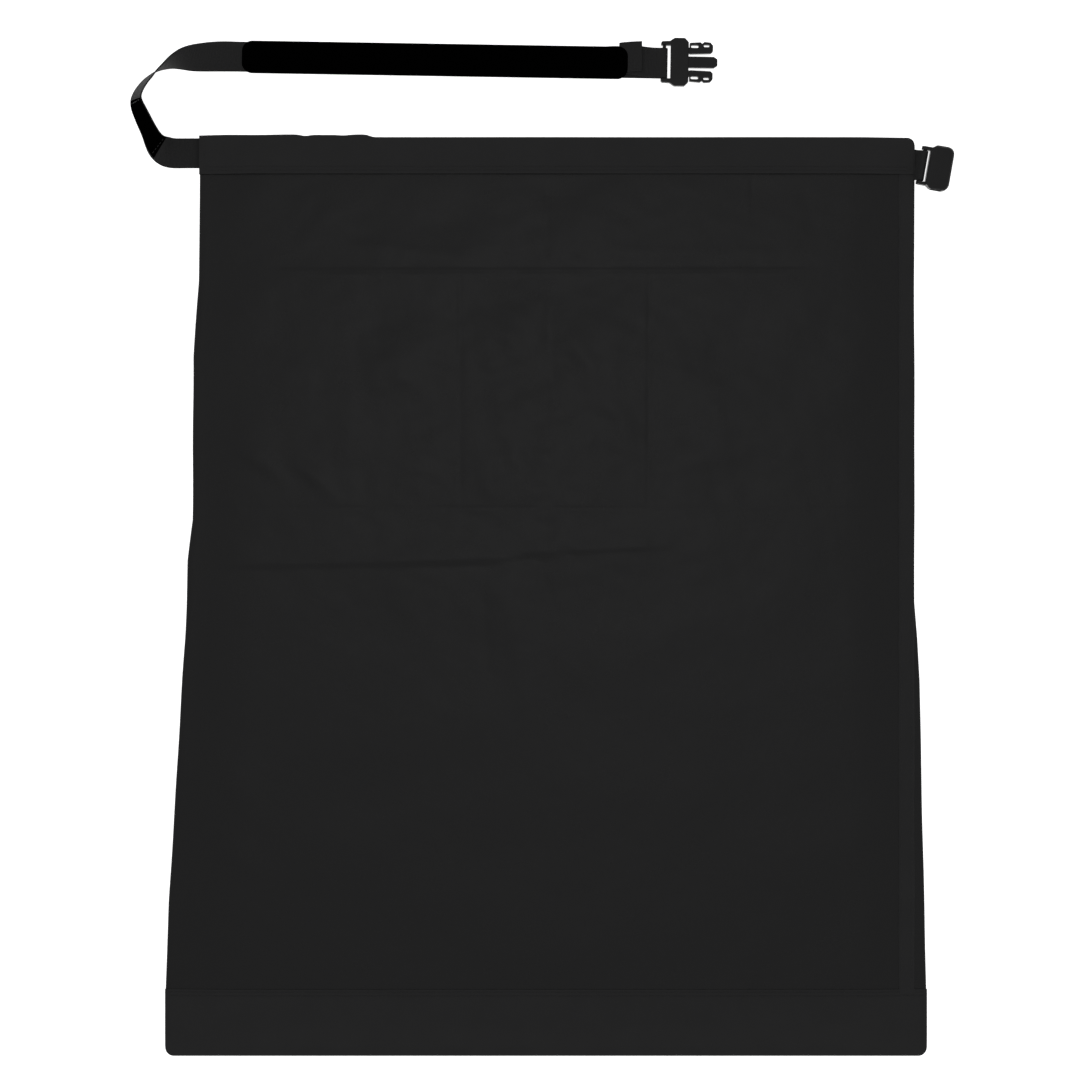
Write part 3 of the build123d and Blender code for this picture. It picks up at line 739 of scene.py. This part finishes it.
class CHANGINGBAG_OT_bottom_band(bpy.types.Operator):
    """The wide band folded over the bottom edge and sewn through both faces"""

    bl_idname = "changing_bag.bottom_band"
    bl_label = "Bottom band"

    def execute(self, context):
        cloth = context.scene.changing_bag_cloth
        side = HALF_BOTTOM + 0.3 * MM
        x = side * np.sin(np.linspace(-0.5, 0.5, 181) * math.pi)
        x = np.sign(x) * np.minimum(np.abs(x), side)
        edge = BOTTOM + rounded_corner(side - np.abs(x), 7 * MM)
        t = places(0, 1, 0.045, [(0.08, 0.1, 4)])[:, None]
        flap_y = BAND_LINE + (edge + 2.2 * MM - BAND_LINE) * t
        high_z, low_z = band_heights(np.broadcast_to(x, flap_y.shape), flap_y, edge, cloth)
        turn = np.linspace(0, math.pi, 9)[1:-1, None]
        middle, tall = (high_z[-1:] + low_z[-1:]) / 2, (high_z[-1:] - low_z[-1:]) / 2
        y = np.concatenate([flap_y, flap_y[-1:] - 2.2 * MM * np.sin(turn), flap_y[::-1]])
        z = np.concatenate([high_z, middle + tall * np.cos(turn), low_z[::-1]])
        grid = np.stack([np.broadcast_to(x, y.shape), y, z], -1)
        made = sheet_mesh("bottom_band", grid, 0.7 * MM, finishes()["band cloth"])
        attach(made, "bag")
        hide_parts("bottom_band_front", "bottom_band_back", "bottom_seam")
        return {"FINISHED"}


def hem_columns(start, end):
    """Places along the hem: half a millimetre apart near its ends, where it rounds off, and wider between."""
    return np.concatenate([
        np.arange(start, start + 9 * MM, 0.5 * MM),
        np.linspace(start + 9 * MM, end - 9 * MM, 200),
        end - np.arange(0, 9 * MM, 0.5 * MM)[::-1],
    ])


def hem_lift(x):
    """Height of the front band's underside: it closes on the back band at the mouth's two ends."""
    ends = np.minimum(x - TOP_LEFT, TOP_RIGHT - x)
    return 2.75 * MM + 4.35 * MM * smooth(ends / (50 * MM)) + 0.25 * MM * waves(x, 0 * x, 21, 6, 0.05, 0.2)


def hem_ruffle(x):
    """How far the mouth's edge stands up on the strap's side, with a shallow dip where it is creased."""
    stands = smooth((x + 0.2955) / (4 * MM)) * smooth((-0.142 - x) / (9 * MM))
    dips = 1.1 * np.exp(-(((x + 0.200) / 0.0045) ** 2)) + 0.6 * np.exp(-(((x + 0.168) / 0.006) ** 2))
    return stands * (2.0 + 0.2 * np.sin(x / (9 * MM)) - dips) * MM


class CHANGINGBAG_OT_hem(bpy.types.Operator):
    """The mouth's hem: a front band over the stiffener and a back band over the webbing"""

    bl_idname = "changing_bag.hem"
    bl_label = "Hem"

    def execute(self, context):
        band = finishes()["band cloth"]
        x = hem_columns(TOP_LEFT - 0.3 * MM, TOP_RIGHT + 0.1 * MM)
        ends = np.minimum(x - x[0], x[-1] - x)
        taper = smooth(ends / (2.4 * MM)) * 0.6 + 0.4
        crest = TOP - 0.7 * MM - rounded_corner(x[-1] - x, 6.5 * MM) + hem_ruffle(x)
        front_nodes = ["hem_front", "hem_front_facing"]
        back_nodes = ["hem_back", "hem_back_facing", "hem_left_seam", "hem_right_seam"]
        for name, base, tall, back_y, nodes in (
            ("hem_front_band", hem_lift(x), FRONT_BAND, HEM_LINE + 2 * MM, front_nodes),
            ("hem_back_band", CLEAR + 0 * x, BACK_BAND, HEM_LINE + 1 * MM, back_nodes),
        ):
            middle = base + tall / 2
            low_z, high_z = middle - tall / 2 * taper, middle + tall / 2 * taper
            if name == "hem_back_band":
                low_z = 0 * x + CLEAR
            y, z = flap_profile(back_y, HEM_LINE - 0.6 * MM + 0 * x, crest, low_z, high_z, 32)
            grid = np.stack([np.broadcast_to(x, y.shape), y, z], -1)
            made = sheet_mesh(name, grid, 0.6 * MM, band)
            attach(made, "hem")
            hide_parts(*nodes)

        strip = np.linspace(low("hem_stiffener").x, high("hem_stiffener").x, 200)
        middle = (low("hem_stiffener").y + high("hem_stiffener").y) / 2
        line = np.stack([strip, np.full(len(strip), middle), hem_lift(strip) + 1.15 * MM], -1)
        wide = high("hem_stiffener").y - low("hem_stiffener").y
        thick = high("hem_stiffener").z - low("hem_stiffener").z
        profile = rounded_bar(wide, thick, 0.2 * MM)
        made = ribbon("stiffener_strip", line, TOWARDS_MOUTH, UP, profile, finishes()["buckle plastic"])
        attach(made, "hem")
        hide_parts("hem_stiffener")
        return {"FINISHED"}


# ---------------------------------------------------------------- the strap
# The straight run of the strap, from the end of its turn to the buckle's plug.
RUN_START = (-0.2550, 0.4496)
RUN_END = (0.0983, 0.4438)
# The route's points: x, y, lean in degrees, and the lower edge's height in millimetres. The strap
# leaves the hem flat, tilts up on its outer edge through the turn, and lies down on its other face.
STRAP_ROUTE = [
    (TOP_LEFT, WEBBING_Y, 0, 0.7),
    (-0.3000, WEBBING_Y, 0, 0.6),
    (-0.3128, 0.3690, 3, 0.4),
    (-0.3200, 0.3718, 26, 0.1),
    (-0.3250, 0.3768, 44, 0),
    (-0.3294, 0.3862, 54, 0),
    (-0.3354, 0.3987, 56, 0),
    (-0.3408, 0.4106, 61, 0),
    (-0.3390, 0.4184, 66, 0),
    (-0.3332, 0.4268, 70, 0),
    (-0.3276, 0.4320, 74, 0),
    (-0.3230, 0.4362, 80, 0),
    (-0.3150, 0.4407, 93, 0),
    (-0.3083, 0.4438, 109, 0),
    (-0.2967, 0.4470, 139, 0.1),
    (-0.2800, 0.4488, 157, 0.3),
    (-0.2690, 0.4495, 168, 0.6),
    (-0.2600, 0.4497, 179, 0.8),
    (-0.2500, 0.4495, 180, 0.8),
    (*RUN_END, 180, 0.8),
]
RUN_STEP = np.array([RUN_END[0] - RUN_START[0], RUN_END[1] - RUN_START[1], 0.0])
RUN_HEADING = RUN_STEP / np.linalg.norm(RUN_STEP)
RUN_ACROSS = np.array([-RUN_HEADING[1], RUN_HEADING[0], 0.0])
BAR = np.array(JOINTS["plug_pivot"]["pos_m"]) - RUN_ACROSS * 1.0 * MM
STRAP_TOP = 0.8 * MM + WEBBING_CLOTH
LOOP_RADIUS = 2.35 * MM  # of the webbing's middle, round a buckle's bar
LABEL_SHIFT = 1.0 * MM  # across the strap, towards its upper edge
LABEL_START, LABEL_END = 34 * MM, 80 * MM  # along the strap from the hem
LABEL_SEAMS = (36.5 * MM, 77.5 * MM)


def spline_points(controls):
    """Points read from the NURBS spline that has these control points."""
    curve = bpy.data.curves.new("route", "CURVE")
    curve.dimensions = "3D"
    spline = curve.splines.new("NURBS")
    spline.points.add(len(controls) - 1)
    for point, place in zip(spline.points, controls):
        point.co = (*place, 1)
    spline.order_u = 3
    spline.use_endpoint_u = True
    spline.resolution_u = 16
    holder = bpy.data.objects.new("route", curve)
    mesh = bpy.data.meshes.new_from_object(holder)
    line = np.zeros(len(mesh.vertices) * 3)
    mesh.vertices.foreach_get("co", line)
    bpy.data.objects.remove(holder)
    bpy.data.meshes.remove(mesh)
    bpy.data.curves.remove(curve)
    return line.reshape(-1, 3)


def strap_frames():
    """Middle line, width and face directions of the strap, at the points of its spline.

    Lean and edge height run along a spline of their own, with the same steps as the route. The middle
    stands half the leaning section's height above the lower edge.
    """
    line = spline_points([(x, y, 0) for x, y, _, _ in STRAP_ROUTE])
    tilt = spline_points([(math.radians(lean), edge * MM, 0) for _, _, lean, edge in STRAP_ROUTE])
    lean, edge = tilt[:, 0], tilt[:, 1]
    heading = directions(line)
    right = np.stack([heading[:, 1], -heading[:, 0], 0 * heading[:, 0]], -1)
    across = right * np.cos(lean)[:, None] + UP * np.sin(lean)[:, None]
    face = np.cross(across, heading)
    line[:, 2] = edge + (WEBBING * np.abs(np.sin(lean)) + WEBBING_CLOTH * np.abs(np.cos(lean))) / 2
    return line, across, face


class CHANGINGBAG_OT_strap(bpy.types.Operator):
    """The closing strap's webbing, from the hem round its turn to the plug, and the webbing in the hem"""

    bl_idname = "changing_bag.strap"
    bl_label = "Closing strap"

    def execute(self, context):
        settings = context.scene.changing_bag_strap
        material = finishes()["ribbed webbing"]
        line, across, face = strap_frames()
        profile = rounded_bar(WEBBING, WEBBING_CLOTH, settings.selvedge)
        strap = ribbon("closing_strap", line, across, face, profile, material)
        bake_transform(strap)
        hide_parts("strap_near", "strap_run")

        x = np.linspace(TOP_LEFT + 0.5 * MM, high("hem_webbing").x - 8 * MM, 200)
        middle = (low("hem_webbing").z + high("hem_webbing").z) / 2
        inside = np.stack([x, np.full(len(x), WEBBING_Y), np.full(len(x), middle)], -1)
        core = ribbon("hem_webbing_run", inside, TOWARDS_MOUTH, UP, profile, material)
        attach(core, "hem")
        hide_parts("hem_webbing")
        return {"FINISHED"}


class CHANGINGBAG_OT_strap_end(bpy.types.Operator):
    """The loop round the plug's bar with its folded tail, the sleeve, the label and the socket's tab"""

    bl_idname = "changing_bag.strap_end"
    bl_label = "Strap fittings"

    def tail(self, settings, material):
        """Round the bar, down on to the strap, back along it, and folded over on itself at the end."""
        turn = np.linspace(-math.pi / 2, math.pi / 2 + 0.5, 18)
        rest = STRAP_TOP + 0.1 * MM + WEBBING_CLOTH / 2 - BAR[2]
        round_bar = np.stack([LOOP_RADIUS * np.cos(turn), LOOP_RADIUS * np.sin(turn)], -1)
        fold, fold_radius = -36.6 * MM, 0.72 * MM
        back_turn = np.linspace(-math.pi / 2, -3 * math.pi / 2, 8)
        over_heights = rest + fold_radius + fold_radius * np.sin(back_turn)
        over = np.stack([fold + fold_radius * np.cos(back_turn), over_heights], -1)
        side = np.concatenate([
            [(-3.0 * MM, -LOOP_RADIUS)],
            round_bar,
            [(-9.0 * MM, rest + 0.5 * MM), (-12.0 * MM, rest)],
            over,
            [(-18.6 * MM, rest + 1.46 * MM)],
        ])
        side = eased(side, 0.6 * MM)
        shift = 5.6 * MM * smooth(run_along(side) / (62 * MM) - 0.12)
        line = BAR + RUN_HEADING * side[:, :1] + UP * side[:, 1:] + RUN_ACROSS * shift[:, None]
        heading = directions(line)
        across = np.broadcast_to(RUN_ACROSS, line.shape)
        face = np.cross(across, heading)
        profile = rounded_bar(WEBBING, WEBBING_CLOTH * 0.96, settings.selvedge)
        made = ribbon("strap_tail", line, across, face, profile, material)
        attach(made, "strap")
        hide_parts("strap_end_loop")
        return made

    def sleeve(self, settings, material):
        """A flat sleeve with rounded ends over the strap; its right end rises over the folded tail."""
        start, end = low("strap_cover").x, high("strap_cover").x
        run = np.linspace(0, 1, 260)
        along = (end - start - 0.3 * MM) * (0.5 - 0.5 * np.cos(run * math.pi))
        from_end = np.minimum(along, along[-1] - along)
        draw = rounded_corner(from_end, 9 * MM)
        half = settings.sleeve_width / 2 - draw
        rise = 2.6 * MM * smooth((along - along[-1] + 20 * MM) / (9 * MM))
        begin = np.array([start + 0.1 * MM, 0, 0])
        begin[1] = BAR[1] + (begin[0] - BAR[0]) * RUN_HEADING[1] / RUN_HEADING[0]
        angle = np.linspace(0, 2 * math.pi, 33)[:-1]
        flat = np.sign(np.cos(angle)) * np.abs(np.cos(angle)) ** 0.35
        bulge = np.sign(np.sin(angle)) * np.abs(np.sin(angle)) ** 0.6
        cap = np.clip(from_end / (0.8 * MM), 0.05, 1) ** 0.5
        tall = 1.55 * MM * cap
        middle = 1.58 * MM
        across = half[:, None] * flat
        height = middle + tall[:, None] * bulge + rise[:, None] * (bulge > 0)
        grid = begin + RUN_HEADING * along[:, None, None]
        grid = grid + RUN_ACROSS * across[..., None] + UP * height[..., None]
        rows, columns = grid.shape[:2]
        faces = grid_faces(rows, columns, closed=True).tolist()
        faces.append(list(range(columns)))
        faces.append(list(range(rows * columns - 1, (rows - 1) * columns - 1, -1)))
        made = piece("strap_sleeve", grid, faces, material)
        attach(made, "strap")
        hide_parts("strap_cover")
        return made

    def label(self, settings, material):
        """A blank label sewn on the strap's upper face, where the strap tilts up into its turn."""
        line, across, face = strap_frames()
        run = run_along(line)
        chosen = (run > LABEL_START) & (run < LABEL_END)
        line = line[chosen] + face[chosen] * (WEBBING_CLOTH / 2 + 0.35 * MM) + across[chosen] * LABEL_SHIFT
        profile = rounded_bar(settings.label_width, 0.6 * MM, 0.25 * MM)
        made = ribbon("strap_label_patch", line, across[chosen], face[chosen], profile, material)
        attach(made, "hem")
        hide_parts("strap_label")
        return made

    def tab(self, settings, material):
        """The short webbing loop that holds the socket: out of the hem, round the bar and back."""
        pivot = np.array(JOINTS["socket_pivot"]["pos_m"])
        across = np.array(JOINTS["socket_pivot"]["axis"])
        heading = np.cross(across, UP)
        turn = np.linspace(-math.pi / 2, math.pi * 0.72, 16)
        round_bar = np.stack([LOOP_RADIUS * np.cos(turn), LOOP_RADIUS * np.sin(turn)], -1)
        leg = low("hem_webbing").z + WEBBING_CLOTH / 2 - pivot[2]
        side = np.concatenate([
            [(-9.5 * MM, leg), (-6.5 * MM, leg + 0.1 * MM)],
            round_bar,
            [(-6.0 * MM, leg + 1.7 * MM), (-9.5 * MM, leg + 1.35 * MM)],
        ])
        side = eased(side, 0.5 * MM)
        line = pivot + heading * side[:, :1] + UP * side[:, 1:]
        face = np.cross(np.broadcast_to(across, line.shape), directions(line))
        profile = rounded_bar(WEBBING, WEBBING_CLOTH * 0.96, settings.selvedge)
        made = ribbon("socket_tab_loop", line, across, face, profile, material)
        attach(made, "hem")
        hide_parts("socket_tab")
        return made

    def execute(self, context):
        settings = context.scene.changing_bag_strap
        made = finishes()
        tail = self.tail(settings, made["ribbed webbing"])
        sleeve = self.sleeve(settings, made["smooth sleeve"])
        label = self.label(settings, made["smooth sleeve"])
        self.tab(settings, made["ribbed webbing"])
        line, _, _ = strap_frames()
        return {"FINISHED"}


# ---------------------------------------------------------------- the sewing
def seam(line, normal, pitch):
    """Places, headings and normals of the stitches along a line, evenly spaced about a pitch apart."""
    normal = np.broadcast_to(normal, line.shape)
    run = run_along(line)
    count = max(1, int(run[-1] / pitch))
    at = (np.arange(count) + 0.5) * run[-1] / count

    def read(values, places_along):
        return np.stack([np.interp(places_along, run, values[:, i]) for i in range(3)], -1)

    heading = read(line, at + 0.3 * pitch) - read(line, at - 0.3 * pitch)
    heading /= np.linalg.norm(heading, axis=1, keepdims=True)
    up = read(normal, at)
    up /= np.linalg.norm(up, axis=1, keepdims=True)
    return read(line, at), heading, up


def stitches(name, seams, settings, body=None):
    """One mesh of many stitches: each is four square rings in a row, the outer two small and sunk."""
    centre, heading, up = (np.concatenate(parts) for parts in zip(*seams))
    side = np.cross(heading, up)
    along = np.array([-0.5, -0.28, 0.28, 0.5]) * settings.stitch
    size = np.array([0.4, 1.0, 1.0, 0.4]) * settings.thread / 2
    sunk = np.array([-0.5, 0.1, 0.1, -0.5]) * settings.thread / 2
    ring = np.array([(1, 0), (0, 1), (-1, 0), (0, -1)])
    across = size[:, None] * ring[:, 0]
    high_up = sunk[:, None] + size[:, None] * ring[:, 1]
    points = (
        centre[:, None, None]
        + heading[:, None, None] * along[None, :, None, None]
        + side[:, None, None] * across[None, :, :, None]
        + up[:, None, None] * high_up[None, :, :, None]
    )
    one = [*grid_faces(4, 4, closed=True).tolist(), [3, 2, 1, 0], [12, 13, 14, 15]]
    faces = (np.array(one)[None] + 16 * np.arange(len(centre))[:, None, None]).reshape(-1, 4)
    made = piece(name, points, faces, finishes()["sewing thread"])
    if body:
        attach(made, body)
    return made


class CHANGINGBAG_OT_sewing(bpy.types.Operator):
    """The rows of stitches on the hem, the bottom band, the tape and the strap's ends"""

    bl_idname = "changing_bag.sewing"
    bl_label = "Sewing"

    def execute(self, context):
        cloth = context.scene.changing_bag_cloth
        settings = context.scene.changing_bag_strap
        pitch = settings.stitch * 1.25
        thread = settings.thread / 2

        x = np.linspace(TOP_LEFT + 6 * MM, TOP_RIGHT - 6 * MM, 300)
        y = np.linspace(HEM_LINE + 2 * MM, TOP - 9 * MM, 20)
        rows = []
        for row in SEAM_ROWS:
            lift = hem_lift(x) + FRONT_BAND - SEAM_DEPTH + 0.5 * thread
            rows.append(seam(np.stack([x, 0 * x + HEM_LINE + row, lift], -1), UP, pitch))
            rows.append(seam(np.stack([x, 0 * x + HEM_LINE + row, 0 * x + 0.3 * MM], -1), -UP, pitch))
        for place in (TOP_LEFT + 4 * MM, TOP_RIGHT - 4 * MM):
            lift = hem_lift(0 * y + place) + FRONT_BAND - seam_groove(y - HEM_LINE)
            rows.append(seam(np.stack([0 * y + place, y, lift], -1), UP, pitch))
        stitches("hem_stitches", rows, settings, "hem")

        x = np.linspace(-HALF_BOTTOM + 3 * MM, HALF_BOTTOM - 3 * MM, 300)
        rows = []
        for row in SEAM_ROWS:
            top, under = band_heights(x, 0 * x + BAND_LINE - row, BOTTOM, cloth)
            rows.append(seam(np.stack([x, 0 * x + BAND_LINE - row, top + 0.5 * thread], -1), UP, pitch))
            rows.append(seam(np.stack([x, 0 * x + BAND_LINE - row, under - 0.5 * thread], -1), -UP, pitch))
        stitches("bottom_stitches", rows, settings, "bag")

        for part, start, end, a, b, fold in TURNS:
            first = BAND_LINE if part == "body" else start
            last = HEM_LINE if part == "neck" else end
            y = np.linspace(first, last, 400)
            rows = []
            for x in (TAPE_LEFT + 2.2 * MM, TOP_RIGHT - 2.4 * MM):
                top, _ = bag_heights(x + 0 * y, y, 0.0, cloth)
                rows.append(seam(np.stack([x + 0 * y, y, top + 0.9 * MM], -1), UP, pitch))
            made = stitches(f"tape_stitches_{part}", rows, settings)
            bend_at_fold(made)

        line, across, face = strap_frames()
        run = run_along(line)
        rows = []
        for place in LABEL_SEAMS:
            at = np.argmin(np.abs(run - place))
            middle = line[at] + face[at] * (WEBBING_CLOTH / 2 + 0.68 * MM) + across[at] * LABEL_SHIFT
            reach = np.linspace(-0.42, 0.42, 9)[:, None] * settings.label_width
            rows.append(seam(middle + across[at] * reach, face[at], pitch))
        stitches("label_stitches", rows, settings, "hem")

        rows = []
        for place in (-13.5 * MM, -16.5 * MM):
            middle = BAR + RUN_HEADING * place + RUN_ACROSS * 1.8 * MM
            middle[2] = STRAP_TOP + 0.1 * MM + WEBBING_CLOTH
            reach = np.linspace(-0.40, 0.40, 9)[:, None] * WEBBING
            rows.append(seam(middle + RUN_ACROSS * reach, UP, 0.6 * pitch))
        stitches("strap_bar_tacks", rows, settings, "strap")
        return {"FINISHED"}


# ---------------------------------------------------------------- the buckle
class CHANGINGBAG_OT_buckle(bpy.types.Operator):
    """The moulded buckle halves: the frame's shapes with their edges rounded off"""

    bl_idname = "changing_bag.buckle"
    bl_label = "Buckle"

    def moulding(self, name, node, body, radius):
        """A copy of a frame node's mesh with its doubles merged and its sharp edges rounded."""
        source = frame["nodes"][node]
        mesh = source.data.copy()
        mesh.name = name
        build = bmesh.new()
        build.from_mesh(mesh)
        bmesh.ops.remove_doubles(build, verts=build.verts, dist=0.01 * MM)
        bmesh.ops.dissolve_limit(build, angle_limit=math.radians(1), verts=build.verts, edges=build.edges)
        build.to_mesh(mesh)
        build.free()
        mesh.materials.clear()
        mesh.materials.append(finishes()["buckle plastic"])
        mesh.polygons.foreach_set("use_smooth", np.ones(len(mesh.polygons), bool))
        mesh.set_sharp_from_angle(angle=math.radians(40))
        made = bpy.data.objects.new(name, mesh)
        bpy.context.scene.collection.objects.link(made)
        rounding = made.modifiers.new("rounded edges", "BEVEL")
        rounding.width = radius
        rounding.segments = 2
        rounding.limit_method = "ANGLE"
        rounding.angle_limit = math.radians(40)
        rounding.harden_normals = True
        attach(made, body)
        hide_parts(node)
        return made

    def execute(self, context):
        radius = context.scene.changing_bag_strap.buckle_edge
        self.moulding("buckle_plug", "plug_body", "plug", radius)
        self.moulding("buckle_arm_upper", "plug_arm_upper", "plug_arm_up", radius)
        self.moulding("buckle_arm_lower", "plug_arm_lower", "plug_arm_low", radius)
        self.moulding("buckle_socket", "socket_half", "socket", radius)
        return {"FINISHED"}


# ---------------------------------------------------------------- the stage
FLOOR_SIDE = 12.0
KEY_PLACE = (-0.024, 0.26, 3.3)
KEY_TARGET = (-0.013, 0.139, 0)
KEY_SIZE = 0.6
KEY_POWER = 1.8
CAMERA_PLACE = (-0.005, 0.0471, 2.5)
CAMERA_LENS = 100


class CHANGINGBAG_OT_stage(bpy.types.Operator):
    """A pale floor, soft studio light and a camera straight above"""

    bl_idname = "changing_bag.stage"
    bl_label = "Stage"

    def area_light(self, name, place, target, size, power):
        light = bpy.data.lights.new(name, "AREA")
        light.shape = "DISK"
        light.size = size
        light.energy = power
        holder = bpy.data.objects.new(name, light)
        holder.location = place
        holder.rotation_euler = (Vector(target) - Vector(place)).to_track_quat("-Z", "Y").to_euler()
        bpy.context.scene.collection.objects.link(holder)

    def execute(self, context):
        scene = context.scene
        scene.view_settings.view_transform = "Standard"
        colours = scene.changing_bag_colours
        half = FLOOR_SIDE / 2
        mesh = bpy.data.meshes.new("floor")
        corners = [(-half, -half, 0), (half, -half, 0), (half, half, 0), (-half, half, 0)]
        mesh.from_pydata(corners, [], [(0, 1, 2, 3)])
        floor = bpy.data.objects.new("floor", mesh)
        scene.collection.objects.link(floor)
        material, _, shader = new_material("pale floor", colours.floor)
        shader.inputs["Roughness"].default_value = 0.9
        shader.inputs["Specular IOR Level"].default_value = 0.1
        shader.inputs["Emission Color"].default_value = (1, 1, 1, 1)
        shader.inputs["Emission Strength"].default_value = 0.9
        floor.data.materials.append(material)

        world = bpy.data.worlds.new("studio")
        world.use_nodes = True
        world.node_tree.nodes["Background"].inputs["Color"].default_value = (1, 1, 1, 1)
        world.node_tree.nodes["Background"].inputs["Strength"].default_value = 0.7
        scene.world = world

        self.area_light("key light", KEY_PLACE, KEY_TARGET, KEY_SIZE, KEY_POWER)

        camera = bpy.data.cameras.new("camera above")
        camera.lens = CAMERA_LENS
        camera.sensor_width = 36
        holder = bpy.data.objects.new("camera above", camera)
        holder.location = CAMERA_PLACE
        scene.collection.objects.link(holder)
        scene.camera = holder
        return {"FINISHED"}


class CHANGINGBAG_PT_panel(bpy.types.Panel):
    """Lists the steps that build the bag"""

    bl_idname = "CHANGINGBAG_PT_panel"
    bl_label = "Changing bag"
    bl_space_type = "VIEW_3D"
    bl_region_type = "UI"
    bl_category = "Changing bag"

    def draw(self, context):
        for operator in OPERATORS:
            self.layout.operator(operator.bl_idname)


OPERATORS = [
    CHANGINGBAG_OT_stage,
    CHANGINGBAG_OT_strap,
    CHANGINGBAG_OT_buckle,
    CHANGINGBAG_OT_strap_end,
    CHANGINGBAG_OT_shell,
    CHANGINGBAG_OT_liner,
    CHANGINGBAG_OT_seam_tape,
    CHANGINGBAG_OT_bottom_band,
    CHANGINGBAG_OT_hem,
    CHANGINGBAG_OT_sewing,
]
SETTINGS = {
    "changing_bag_cloth": ChangingBagCloth,
    "changing_bag_strap": ChangingBagStrap,
    "changing_bag_colours": ChangingBagColours,
}


def register():
    for name, group in SETTINGS.items():
        bpy.utils.register_class(group)
        setattr(bpy.types.Scene, name, PointerProperty(type=group))
    for operator in OPERATORS:
        bpy.utils.register_class(operator)
    bpy.utils.register_class(CHANGINGBAG_PT_panel)


def unregister():
    bpy.utils.unregister_class(CHANGINGBAG_PT_panel)
    for operator in reversed(OPERATORS):
        bpy.utils.unregister_class(operator)
    for name, group in SETTINGS.items():
        delattr(bpy.types.Scene, name)
        bpy.utils.unregister_class(group)


def main():
    register()
    for operator in OPERATORS:
        group, name = operator.bl_idname.split(".")
        getattr(getattr(bpy.ops, group), name)()


if __name__ == "__main__":
    main()
